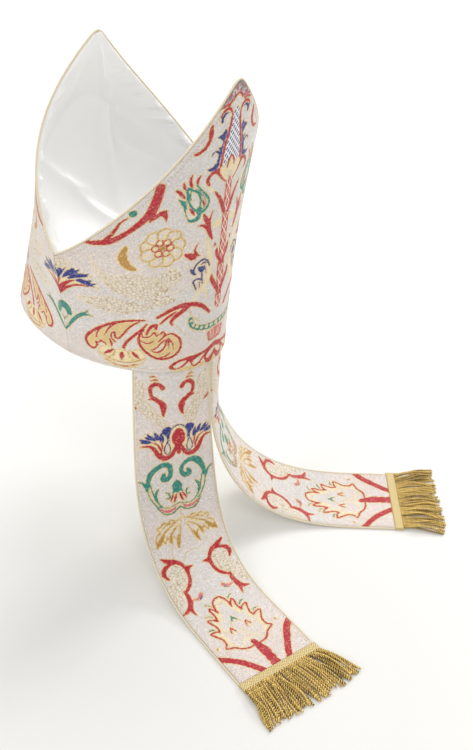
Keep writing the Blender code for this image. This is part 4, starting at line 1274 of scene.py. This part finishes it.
# Rows as in the panels' chart: millimetres from the middle of a lappet and down from the rim
LAPPET_CHART = (
    ("net", None, ((42, 6), (32, 8), (25, 16), (27, 26), (20, 36), (13, 46), (8, 57), (15, 60), (23, 50),
        (31, 40), (42, 30))),
    ("net", None, ((19, 202), (30, 205), (34, 214), (40, 226), (40, 244), (33, 240), (27, 232), (18, 224),
        (15, 212))),
    ("gold", (0.9,) * 2, ((42, 31), (32, 40), (24, 50), (16, 60))),
    ("gold", (0.9,) * 2, ((26, 15), (28, 26), (20.6, 36), (13.4, 46), (8.4, 57))),
    ("red", (0.8, 1.6, 0.8), ((13, 10.4), (16.5, 9), (20.5, 10.4))),
    ("red", (0.8, 1.6, 0.8), ((15, 7), (18, 5.8), (21, 6.6))),
    ("red", (4.8, 3.4, 4.2, 3.8, 3.4, 5.0, 6.8, 1.6), ((9.4, 18), (12.2, 14.6), (17, 14), (20.8, 18),
        (20.2, 25), (16, 30), (11, 33.6), (8.8, 39), (9.6, 47.6))),
    ("red", (4.0, 1.2), ((16, 29), (22.6, 29.2))),
    ("red", (1.6, 3.0), ((34.5, 39), (40, 36))),
    # Palmette
    ("straw", None, ((-3, 60.6), (4, 61), (8.6, 67), (10, 74), (14, 73), (19, 70), (25, 70), (38, 73),
        (36, 79), (28, 80), (24, 90), (15, 97), (5, 92), (0, 84), (-3, 84))),
    ("red", (3.0, 4.6, 5.4, 5.2, 4.0, 2.4, 1.0), ((2.6, 83), (7, 91.6), (14, 94), (20, 90), (24, 83),
        (29, 78.6), (38, 78.6))),
    ("red", (1.2, 2.2, 1.4, 0.8), ((17, 89), (18.6, 82), (22, 77), (29, 73.6))),
    ("red", (1.0, 1.8, 0.8), ((16, 85), (16.6, 78), (19, 72.6))),
    ("red", None, ((-3, 63.4), (0, 62.8), (4, 65.6), (6.8, 71.5), (6.2, 77.8), (3.2, 82.4), (1.6, 91),
        (-3, 91))),
    ("blue", (1.2, 1.4, 1.4, 1.0), ((-3, 59.4), (2.4, 59.8), (7, 63.4), (9.4, 69), (9.2, 75))),
    ("blue", None, ((7.4, 61.6), (11, 59.6), (16, 62.2), (15.8, 66.4), (12.8, 69.6), (11, 75),
        (8.8, 69))),
    ("blue", None, ((15.2, 76.4), (14.4, 71), (17.4, 66), (18.6, 70), (18, 74.6))),
    ("blue", None, ((18.8, 73.4), (19.4, 68.4), (23.8, 64), (23.6, 69), (22, 72.4))),
    ("blue", None, ((22.6, 73.4), (25, 69), (31.6, 64.8), (30, 68.6), (34, 67.6), (29.4, 71.8))),
    ("blue", None, ((26.6, 75), (31, 71.6), (39.6, 70.4), (36.4, 73.2), (38.6, 74.2), (32, 75.6))),
    ("ground", None, PALMETTE_EYE),
    ("blue", (1.2, 1.3), PALMETTE_EYE + PALMETTE_EYE[:1]),
    # Lyre
    ("teal", (3.6, 6.4, 5.4, 4.6, 4.6, 5.0, 5.6, 6.2, 5.2, 3.6), ((12.4, 112), (13.4, 115.6),
        (10.2, 117.4), (6.9, 115.4), (5.4, 110), (7.4, 104.4), (12.6, 101.4), (18.4, 102.4), (24.4, 107),
        (28, 113.6), (29.4, 121))),
    ("teal", (1.2, 1.4, 1.4), ((29.8, 120), (29.2, 130), (25.4, 138.4), (20, 146), (15, 151))),
    ("teal", (1.4, 1.4, 1.2), ((26.8, 120), (24.6, 130), (22.4, 138), (17.4, 144.4))),
    ("teal", (1.0, 2.8, 2.0, 0.8), ((18.8, 126), (21.6, 129), (22.2, 135), (19, 143))),
    ("teal", None, ((39, 113.8), (34.4, 117.6), (31.2, 125.6), (29.6, 123.4), (31, 118), (35, 114.6))),
    ("rose", None, ((19, 146), (14, 148.6), (8, 148.8), (3, 146.4), (5, 150.6), (12, 152), (18, 149.8),
        (22, 145.6))),
    ("teal", (1.2, 1.4, 1.2), ((22.6, 144.6), (16.4, 152.4), (8.4, 153.4), (2, 150), (0, 148.4))),
    ("teal", (0.9, 0.9), ((20, 143.6), (12, 147), (5, 146), (0, 144.6))),
    ("teal", None, ((-3, 121), (1, 121), (5, 125.6), (4.7, 131), (6.4, 135), (2.4, 133), (0, 135),
        (-3, 135))),
    ("red", (1.4, 2.8, 1.4), ((1.6, 135), (3, 139), (4.6, 143))),
    ("red", (1.0, 2.2, 1.2), ((4.6, 134.6), (6.4, 138), (8.2, 141.4))),
    ("teal", (0.8, 2.0, 1.2), ((12, 131.6), (9, 133.6), (8.4, 138))),
    ("teal", (0.8, 1.4), ((13, 137.4), (9.4, 138.4))),
    # Pair of gold leaves
    ("ground", None, ((1.5, 160), (7, 161.6), (12, 159.6), (15.6, 162), (20, 160.2), (23, 162.8),
        (27.6, 164.4), (25.4, 168), (30.4, 171.6), (28, 176), (23, 177), (19.6, 175.6), (17, 179),
        (14, 176.4), (11.4, 182.6), (7.8, 180), (5.6, 173), (3, 166))),
    ("straw", (1.4, 3.2, 3.4, 2.0), ((4, 162), (12, 166), (20, 169.6), (27, 175.6))),
    ("ochre", (0.8, 1.1, 1.1, 0.9), ((1.5, 160), (7, 161.6), (12, 159.6), (15.6, 162), (20, 160.2),
        (23, 162.8), (27.6, 164.4), (25.4, 168), (30.4, 171.6), (32.4, 179))),
    ("ochre", (0.8, 1.0, 1.1, 1.4), ((3, 166), (5.6, 173), (7.6, 180), (11.6, 186), (11.2, 179),
        (14.4, 175.6), (17, 180.6), (19.4, 174.6), (23, 179), (26, 175), (32.4, 179.6))),
    ("ochre", (0.6, 1.2, 1.4), ((4, 161), (13, 165.4), (22, 170), (30, 177.6))),
    ("ochre", (0.6, 1.0, 0.6), ((9, 163), (16, 162.8), (23, 165.4))),
    ("ochre", (0.6, 1.2, 0.8), ((5, 166), (11, 169.6), (15.6, 175))),
    ("ochre", (1.0, 3.6, 4.4, 0.8), ((22, 172), (26, 175), (29.4, 177.6), (33, 181))),
    ("ochre", (0.8, 3.6, 1.0), ((8, 175), (9.6, 180.6), (11.8, 187))),
    ("ochre", (0.6, 2.2, 0.8), ((14, 171), (16.2, 175.6), (17.6, 181))),
    ("gold", (0.8, 0.8), ((0, 150), (1.2, 158), (2.6, 166), (5, 175))),
    ("gold", (0.8, 0.8), ((14, 176), (18, 186), (22, 198))),
    ("gold", (0.8, 0.8, 0.8), ((0, 192.4), (7, 194.4), (11, 201))),
    # C scrolls
    ("red", (1.4, 5.0, 4.4, 3.6, 3.6, 3.6, 3.6, 2.4), ((33.4, 192), (27, 196.2), (20, 199), (15.2, 203.4),
        (13.2, 210), (14, 218), (18, 224.6), (25, 230))),
    ("red", (3.0, 3.0, 4.4, 4.4, 1.6), ((20.4, 198.8), (28, 199.6), (34, 202.4), (36, 207),
        (33.4, 212.4))),
    ("red", None, ((15, 205.6), (9, 206.4), (4.8, 207.6), (9, 209.4), (13.4, 214))),
    ("red", (2.8, 4.6, 5.6, 4.4, 1.4), ((25.4, 228.6), (24.8, 235), (26.4, 241.6), (30.6, 246.6),
        (37, 248.6))),
    ("red", (4.0, 3.6, 0.9), ((26.2, 241), (27.6, 247.4), (26.6, 254.4))),
    ("rose", (1.2, 2.2, 3.8), ((23.4, 238.4), (17.6, 240.2), (12.4, 237))),
    ("blue", (1.6, 0.8), ((12.4, 239.4), (16.6, 242))),
    # Thistle on its stems
    ("ground", None, ((0, 247), (4, 248), (7, 252.5), (7.8, 261), (11.5, 255.5), (13.5, 257),
        (13.8, 269.5), (18.5, 266), (21.5, 266.5), (19.5, 280.5), (24.5, 279), (27, 281), (22.5, 291),
        (23, 297.5), (25, 300), (18, 304.5), (12, 309.5), (5, 311), (-4, 309), (-4, 247))),
    ("straw", (1.4, 3.4, 3.0, 1.6), ((0, 250), (4.4, 256), (8, 265), (9, 272))),
    ("straw", (2.4, 2.6, 1.4), ((11.4, 259), (11, 268), (14, 276))),
    ("straw", (2.4, 2.8, 1.2), ((18.6, 270), (15.6, 278), (18, 286))),
    ("straw", (2.6, 3.6, 3.0, 1.4), ((24.6, 282), (19.6, 289), (20, 298), (14, 303))),
    ("straw", (1.6, 2.4, 1.4), ((10, 306.6), (5, 300), (0, 303))),
    ("straw", (1.2, 1.6, 1.2), ((0, 288), (2.6, 294), (0, 299))),
    ("straw", (1.0, 1.8, 1.0), ((9, 292), (13, 288), (15, 280))),
    ("red", (1.8, 1.8), ((-2, 247), (3, 247.4), (6.4, 251.4), (7.8, 257), (7.6, 262))),
    ("red", (1.8, 1.8), ((7.6, 262), (9.4, 258), (12.4, 254.6), (13.6, 257), (12.6, 263), (13.6, 270))),
    ("red", (1.8, 1.8), ((13.6, 270), (16.6, 266.8), (21.8, 265.6), (20, 271), (18.6, 276),
        (19.4, 281.4))),
    ("red", (1.8, 1.8), ((19.4, 281.4), (23, 279.4), (28, 279.6), (25, 285.4), (22.4, 291), (22.8, 297))),
    ("red", (1.8, 1.8), ((22.8, 297), (26, 300.6), (18.6, 304), (12.4, 309.6), (5, 311), (-2, 309.4))),
    ("red", (1.2, 1.6, 1.2), ((6.2, 289), (8.6, 283), (11.2, 288.6))),
    ("teal", (2.4, 1.2), ((-0.4, 272.4), (3.6, 278.4))),
    ("gold", (1.0, 0.8), ((3.6, 278.4), (6.4, 283))),
    ("teal", (0.8, 1.4, 0.8), ((9.8, 253), (12, 250.6), (15, 249.4))),
    ("teal", (0.8, 1.4, 0.8), ((15.4, 264), (18, 261.4), (21.4, 260.8))),
    ("teal", (0.8, 1.4, 0.8), ((21.6, 277.4), (24.6, 275.4), (28, 275.6))),
    ("red", (5.4, 6.6, 8.8, 9.8, 5.4, 9.8, 6.6, 10.4, 7.0, 9.4), ((0, 307), (0, 313), (0, 318.6), (0, 323),
        (0, 326.4), (0, 330), (0, 334), (0, 338), (0, 342), (0, 350))),
    ("red", (6.4, 6.2, 6.2, 6.0, 6.0), ((44, 304), (36, 309.6), (28, 318), (20, 329), (12, 343),
        (8, 352))),
    ("ochre", (1.4, 1.4), ((33, 296), (33.6, 297.4))),
)

# Rows: millimetres below the rim, how far the figures' middle is from the lappet's
LAPPET_MIDDLES = ((0, 2.6), (46, 2.6), (60, -3), (96, -3), (108, 0.5), (240, 0.5), (250, 2.4),
                  (306, 2.4), (320, 0))

# Rows: millimetres below the rim, share of pink weft in the ground
LAPPET_BANDS = ((0, 0.3), (40, 0.3), (60, 0.75), (95, 0.65), (115, 0.2), (150, 0.3), (170, 0.8),
                (190, 0.5), (205, 0.1), (250, 0.1), (275, 0.4), (300, 0.85), (340, 0.85))


def frame_of(turn):
    """Directions ahead of and across a lappet that runs out at this compass angle."""
    return np.array((math.sin(turn), math.cos(turn), 0.0)), np.array((math.cos(turn), -math.sin(turn), 0.0))


def lappet_path(side, start_angle, sweep, splay):
    """Stations of a lappet's middle line below the rim: position, heading and run."""
    root_run = np.array([side * (LAPPET_GAP_AT_BACK / 2.0 + LAPPET_WIDTH / 2.0)])
    inward = PANEL_THICKNESS + SEWN_CLEARANCE + LAPPET_THICKNESS / 2.0
    normal = outward_row(BACK, root_run, 0.0)[0]
    root = outer_row(BACK, root_run, 0.0)[0] - normal * inward
    root_heading = math.atan2(normal[0], normal[1])
    run = np.linspace(0.0, LAPPET_LENGTH, PATH_STEPS)
    step = run[1]
    rest = LAPPET_THICKNESS / 2.0 - SURFACE_DROP

    def fall(straight):
        share = np.clip((run - straight) / sweep, 0.0, 1.0)
        angle = np.radians(start_angle + (90.0 - start_angle) * share ** 2 * (3.0 - 2.0 * share))
        out = np.concatenate(([0.0], np.cumsum(np.sin(angle[1:]) * step)))
        down = root[2] - np.concatenate(([0.0], np.cumsum(np.cos(angle[1:]) * step)))
        return out, down

    low, high = 0.0, LAPPET_LENGTH
    for _ in range(40):
        straight = (low + high) / 2.0
        if fall(straight)[1][-1] > rest:
            low = straight
        else:
            high = straight
    out, down = fall(straight)
    turned = np.clip(run / TURN_LENGTH, 0.0, 1.0)
    heading = root_heading + (math.radians(splay) - root_heading) * turned
    forward = np.diff(out, prepend=0.0)
    x = root[0] + np.cumsum(forward * np.sin(heading))
    y = root[1] + np.cumsum(forward * np.cos(heading))
    return run, np.stack([x, y, down], axis=1), heading


def lappet_row(side, path, offsets, distance):
    """Points across a lappet, at offsets from its middle line and a distance below the rim."""
    root_run = side * (LAPPET_GAP_AT_BACK / 2.0 + LAPPET_WIDTH / 2.0)
    inward = PANEL_THICKNESS + SEWN_CLEARANCE + LAPPET_THICKNESS / 2.0
    height = max(-distance, 0.0)
    on_panel = (outer_row(BACK, root_run + offsets, height)
                - outward_row(BACK, root_run + offsets, height) * inward)
    if distance <= 0.0:
        return on_panel
    run, middle, heading = path
    centre = np.array([np.interp(distance, run, middle[:, k]) for k in range(3)])
    outward, across = frame_of(float(np.interp(distance, run, heading)))
    root_outward, root_across = frame_of(heading[0])
    bend = on_panel - middle[0]
    keep = 1.0 - float(ease(distance / CROSS_CURVE_LENGTH))
    sideways = offsets + (bend @ root_across - offsets) * keep
    return centre + across * sideways[:, None] + outward * (bend @ root_outward)[:, None] * keep


def lappet_half_width(distance):
    """Half of a lappet's width over its pipings, which grows from the rim to the fringe."""
    share = max(distance, 0.0) / LAPPET_LENGTH
    return (LAPPET_WIDTH + (LAPPET_END_WIDTH - LAPPET_WIDTH) * share) / 2.0


def lappet_face(side, path, step, inner):
    """Rows of one face of a lappet, from its end up to where it is sewn inside the rim."""
    margin = 2.0 * LAPPET_PIPING_RADIUS + CLEARANCE
    full = LAPPET_LENGTH + LAPPET_TUCK
    rows, flat = [], []
    for distance in np.linspace(LAPPET_LENGTH, -LAPPET_TUCK, int(full / step) + 1):
        half = lappet_half_width(distance) - margin
        offsets = lattice_row(half, step)
        spots = lappet_row(side, path, offsets, distance)
        beside = (lappet_row(side, path, offsets + PROBE, distance)
                  - lappet_row(side, path, offsets - PROBE, distance))
        here = float(np.clip(distance, -LAPPET_TUCK + PROBE, LAPPET_LENGTH - PROBE))
        below = lappet_row(side, path, offsets, here + PROBE) - lappet_row(side, path, offsets, here - PROBE)
        normal = unit(np.cross(beside, below))
        crown = LAPPET_THICKNESS / 2.0 - EDGE_THINNING * np.exp(-(half - np.abs(offsets)) / THINNING_REACH)
        face_spots = spots + normal * crown[:, None] * (-1.0 if inner else 1.0)
        rows.append([LAPPET_LENGTH - distance, offsets, face_spots, normal])
        flat.append(flat_places(offsets, distance, half - np.abs(offsets)))
    return rows, np.concatenate(flat)


def make_lappet(name, side, path):
    """One lappet in lined brocade, along its path."""
    outer, flat = lappet_face(side, path, CLOTH_STEP, False)
    inner, _ = lappet_face(side, path, LINING_STEP, True)
    across, down, _ = flat.T
    threads = weave(LAPPET_CHART, across - np.interp(down, *zip(*LAPPET_MIDDLES)), down)
    return woven_cloth(name, outer, inner, flat, threads, np.interp(down, *zip(*LAPPET_BANDS)))


paths, lappets = {}, {}
for name, side, start_angle, sweep, splay, *_ in LAPPETS:
    paths[name] = lappet_path(side, start_angle, sweep, splay)
    lappets[name] = make_lappet(name + "_lappet_brocade", side, paths[name])
    dress(lappets[name], name + "_lappet")
    for label, edge in (("outer", side), ("inner", -side)):
        line = []
        for distance in np.linspace(-LAPPET_TUCK, LAPPET_LENGTH, 150):
            offset = np.array([edge * (lappet_half_width(distance) - LAPPET_PIPING_RADIUS)])
            line.append(lappet_row(side, paths[name], offset, distance)[0])
        node = "%s_lappet_piping_%s" % (name, label)
        make_piping(node + "_cord", node, line, LAPPET_PIPING_RADIUS)

# Fringes
# Bullion fringe in gold thread: two-ply cords hang close together from a woven heading that
# is sewn across a lappet's end. On the floor the cords lie in three layers and splay a little.

FRINGE_LENGTH = 0.054
HEADER_LENGTH = 0.010
HEADER_THICKNESS = 0.0034
HEADER_LIFT = 0.0001
HEADER_STEP, HEADER_BACK_STEP = 0.0005, 0.004
HEADER_ROUNDING, ROUNDING_REACH = 0.0010, 0.0008
RIB_HEIGHT = 0.00026
RIB_PITCHES_MM = (2.6, 2.5)
CORD_COUNT = 88
CORD_RADIUS = 0.00112
CORD_TUCK = 0.0015
CORD_LENGTH_SHARES = (0.88, 1.04)
LAYER_STEP, LAYER_HUMP = 0.0008, 0.0013
LEAST_LIFT, LEAST_HUMP, RANDOM_HUMP = 0.0003, 0.0004, 0.0018
CORD_SETTINGS = {"Radius": CORD_RADIUS, "Strands": 2, "Groove": 0.34, "Pitch": 0.0048, "Step": 0.0009,
                 "Corners": 10, "Rounding": 0.0012}


def bullion_material():
    """Gilt bullion thread: warm painted highlights on each strand, and painted shade in dark lines between
    strands.
    """
    material, tree = start_material("Gilt bullion")
    calc, times, _, _ = maths_in(tree)
    turn = attribute(tree, "cord_turn")
    # Painted highlight on the middle of each strand and painted shade in the grooves between them
    painted_strand_light = calc("COSINE", times(turn, 4.0 * math.pi))
    fibre = calc("SINE", calc("MULTIPLY_ADD", turn, 40.0, times(attribute(tree, "cord_run"), 9000.0)))
    share = remap(tree, calc("MULTIPLY_ADD", fibre, 0.22, painted_strand_light), (-1.0, 1.0))
    own_tone = calc("MULTIPLY_ADD", attribute(tree, "cord_shade"), 0.5,
                    times(noise(tree, own_place(tree), 190.0, 2.0), 0.4))
    lit = remap(tree, calc("MULTIPLY_ADD", share, 0.75, own_tone), (0.34, 1.12))
    coat(tree, {"Base Color": mix_colours(tree, lit, linear("#3a2405"), linear("#f2ce76")),
                "Roughness": 0.40, "Metallic": 0.35, "Normal": bumped(tree, fibre, 0.35, 0.0001)})
    return material


def heading_material():
    """Woven gilt heading: a fine grid of bright gold weft over darker warp."""
    material, tree = start_material("Gilt heading braid")
    calc, times, _, _ = maths_in(tree)
    place = attribute(tree, "weave_mm", "Vector")
    waves = [calc("SINE", times(part, 2.0 * math.pi / pitch))
             for part, pitch in zip(parts_of(tree, place), RIB_PITCHES_MM)]
    cross = times(*waves)
    share = remap(tree, calc("MULTIPLY_ADD", cross, 0.30, noise(tree, place, 0.9, 2.0)), (0.2, 0.85))
    coat(tree, {"Base Color": mix_colours(tree, share, linear("#b49651"), linear("#f6e6b4")),
                "Roughness": 0.45, "Metallic": 0.3, "Normal": bumped(tree, cross, 0.5, 0.0002)})
    return material


def make_heading(name, path):
    """Ribbed woven band across a lappet's end."""
    end = path[1][-1]
    forward, across = frame_of(path[2][-1])
    faces, flat = [], []
    for step, on_top in ((HEADER_STEP, 1.0), (HEADER_BACK_STEP, 0.0)):
        rows = []
        for run in np.linspace(0.0, HEADER_LENGTH, int(HEADER_LENGTH / step) + 1):
            places = lattice_row(LAPPET_END_WIDTH / 2.0, step)
            spots = end + forward * (CLEARANCE + run) + across * places[:, None]
            edge = min(run, HEADER_LENGTH - run)
            top = HEADER_THICKNESS - HEADER_ROUNDING * math.exp(-edge / ROUNDING_REACH)
            wave = [2.0 * math.pi * way * 1000.0 / pitch for way, pitch in zip((places, run), RIB_PITCHES_MM)]
            rib = RIB_HEIGHT * np.sin(wave[0]) * math.sin(wave[1])
            spots[:, 2] = -SURFACE_DROP + (top if on_top else HEADER_LIFT) + on_top * rib
            rows.append((run, places, spots))
            if on_top:
                flat.append(flat_places(places, run, np.zeros(len(places))))
        faces.append(rows)
    return build_cloth(name, *faces, (heading_braid, heading_braid), np.concatenate(flat), [])


def cord_lines(path, side, fan_out, fan_in, seed):
    """Middle lines of a fringe's cords, from inside the heading to their tips on the floor."""
    random = np.random.default_rng(seed)
    forward, across = frame_of(path[2][-1])
    start = path[1][-1] + forward * (CLEARANCE + HEADER_LENGTH - CORD_TUCK)
    lines = []
    steps = np.linspace(0.0, 1.0, 15)
    for i in range(CORD_COUNT):
        place = (i + 0.5) / CORD_COUNT * 2.0 - 1.0
        outer_share = (place * side + 1.0) / 2.0
        fan = math.radians(fan_in + (fan_out - fan_in) * outer_share + random.normal(0.0, 3.2)) * side
        direction = forward * math.cos(fan) + across * math.sin(fan)
        beside = across * math.cos(fan) - forward * math.sin(fan)
        length = (FRINGE_LENGTH - HEADER_LENGTH) * random.uniform(*CORD_LENGTH_SHARES)
        root = start + across * place * (LAPPET_END_WIDTH / 2.0 - CORD_RADIUS)
        layer = i % 3
        rise = LEAST_HUMP + LAYER_HUMP * layer + random.uniform(0.0, RANDOM_HUMP)
        hump = rise * np.sin(math.pi * np.minimum(steps * 1.1, 1.0)) ** 0.7
        sway = (random.normal(0.0, 0.0014) * np.sin(math.pi * steps)
                + random.normal(0.0, 0.0009) * np.sin(2.0 * math.pi * steps))
        points = root + direction * (steps * length)[:, None] + beside * sway[:, None]
        lift = LEAST_LIFT + LAYER_STEP * (2 - layer) * (1.0 - steps) + hump
        points[:, 2] = CORD_RADIUS - SURFACE_DROP + lift
        lines.append(points)
    return lines


bullion = bullion_material()
heading_braid = heading_material()
for k, (name, side, *_, fan_out, fan_in) in enumerate(LAPPETS):
    dress(make_heading(name + "_fringe_heading", paths[name]), name + "_fringe")
    lines = cord_lines(paths[name], side, fan_out, fan_in, 11 + k)
    cords = bake_nodes(name + "_fringe_cords", curve_of(name + "_fringe_lines", lines), cord, cord_keys,
                       {**CORD_SETTINGS, "Finish": bullion})
    dress(cords, name + "_fringe")

# Stitching
# Rows of short stitches in fawn thread: round the rim, inside the slanted edges of both horns
# and along the sides of the lappets. Each stitch is sunk a little in the cloth.

STITCH_LENGTH = 0.0021
STITCH_WIDTH = 0.0005
STITCH_PITCH = 0.0032
RIM_STITCH_HEIGHT = 0.0042
LAPPET_STITCH_INSET = 0.0017
LAPPET_STITCH_START = 0.004
STITCH_SINK = 0.0001
STITCH_LINE_GAP, NOTCH_MARGIN, STITCH_END_GAP = 0.0004, 0.002, 0.001
STITCH_LINE_STEPS = 160


def stitch_tree():
    """Row of stitches along a curve: small rounded threads laid end to end with gaps."""
    tree, keys, given, result = new_tree("Stitch row", Length="Float", Width="Float", Pitch="Float",
                                         Thread="Material")
    g = given.outputs
    spots = add_node(tree, "GeometryNodeCurveToPoints",
                     {"Curve": g["Geometry"], "Length": g["Pitch"]}, mode="LENGTH")
    turn = add_node(tree, "FunctionNodeAlignRotationToVector", {"Vector": spots.outputs["Tangent"]}, axis="X")
    size = add_node(tree, "ShaderNodeCombineXYZ", {0: g["Length"], 1: g["Width"], 2: g["Width"]}).outputs[0]
    thread = add_node(tree, "GeometryNodeMeshUVSphere", {"Segments": 6, "Rings": 4, "Radius": 0.5})
    placed = add_node(tree, "GeometryNodeInstanceOnPoints", {
        "Points": spots.outputs["Points"], "Instance": thread.outputs["Mesh"],
        "Rotation": turn.outputs[0], "Scale": size})
    finish_tree(tree, placed.outputs[0], g["Thread"], result)
    return tree, keys


def thread_material():
    """Polyester sewing thread: fawn, with a slight gloss and a twist too fine to see."""
    material, tree = start_material("Polyester thread")
    colour = mix_colours(tree, noise(tree, own_place(tree), 400.0, 1.0), linear("#b09866"), linear("#d8c79a"))
    coat(tree, {"Base Color": colour, "Roughness": 0.5, "Specular IOR Level": 0.4})
    return material


def inset_line(face, inset):
    """Line on a horn's outer face, this far inside its slanted edges, up one side and down the other."""
    heights = np.linspace(NOTCH_HEIGHT, PEAK_HEIGHT - PEAK_RADIUS, 120)
    flat = np.array([(edge_run(face, h), h) for h in heights])
    ahead = np.gradient(flat, axis=0)
    inside = np.stack([-ahead[:, 1], ahead[:, 0]], axis=1)
    flat = flat + unit(inside) * inset
    flat = flat[(flat[:, 0] > STITCH_LINE_GAP) & (flat[:, 1] > NOTCH_HEIGHT + NOTCH_MARGIN)]
    both = [(-u, h) for u, h in flat] + [(u, h) for u, h in flat[::-1]]
    return [outer_row(face, np.array([u]), h)[0] for u, h in both]


def rim_line(face, height):
    """Line round a panel's outer face at one height."""
    reach = edge_run(face, height) - STITCH_END_GAP
    return outer_row(face, np.linspace(-reach, reach, STITCH_LINE_STEPS), height)


def lappet_line(side, path, edge):
    """Line on a lappet's face, just inside the piping of one of its sides."""
    line = []
    inset = 2.0 * LAPPET_PIPING_RADIUS + CLEARANCE + LAPPET_STITCH_INSET
    for distance in np.linspace(LAPPET_STITCH_START, LAPPET_LENGTH - STITCH_END_GAP, STITCH_LINE_STEPS):
        offset = np.array([edge * (lappet_half_width(distance) - inset)])
        near = lappet_row(side, path, np.concatenate((offset - PROBE, offset, offset + PROBE)), distance)
        lower = (lappet_row(side, path, offset, distance + PROBE)
                 - lappet_row(side, path, offset, distance - PROBE))
        normal = unit(np.cross(near[2] - near[0], lower[0]))
        line.append(near[1] + normal * (LAPPET_THICKNESS / 2.0 - STITCH_SINK))
    return line


stitches, stitch_keys = stitch_tree()
thread = thread_material()
hem_inset = HEM_STITCH_INSET_MM / 1000.0
stitch_lines = {
    "rim_stitching": [rim_line(FRONT, RIM_STITCH_HEIGHT), rim_line(BACK, RIM_STITCH_HEIGHT)],
    "front_horn_stitching": [inset_line(FRONT, hem_inset)],
    "back_horn_stitching": [inset_line(BACK, hem_inset)],
}
for name, side, *_ in LAPPETS:
    stitch_lines[name + "_lappet_stitching"] = [lappet_line(side, paths[name], edge) for edge in (-1, 1)]
for name, lines in stitch_lines.items():
    row = bake_nodes(name, curve_of(name + "_lines", lines), stitches, stitch_keys, {
        "Length": STITCH_LENGTH, "Width": STITCH_WIDTH, "Pitch": STITCH_PITCH, "Thread": thread})
    dress(row)

# Sheets
# The flat width and area of each horn panel's cut, and the gusset's width and length, are worked out.


def panel_area(face):
    """Flat area of a panel's cut."""
    heights = np.linspace(0.0, PEAK_HEIGHT, 200)
    return float(2.0 * np.trapz([edge_run(face, h) for h in heights], heights))


for face, label in ((FRONT, "front"), (BACK, "back")):
    2.0 * edge_run(face, NOTCH_HEIGHT)
    panel_area(face)
gusset_width, gusset_length = 2.0 * edge_run(FRONT, NOTCH_HEIGHT), 2.0 * (PEAK_HEIGHT - NOTCH_HEIGHT)
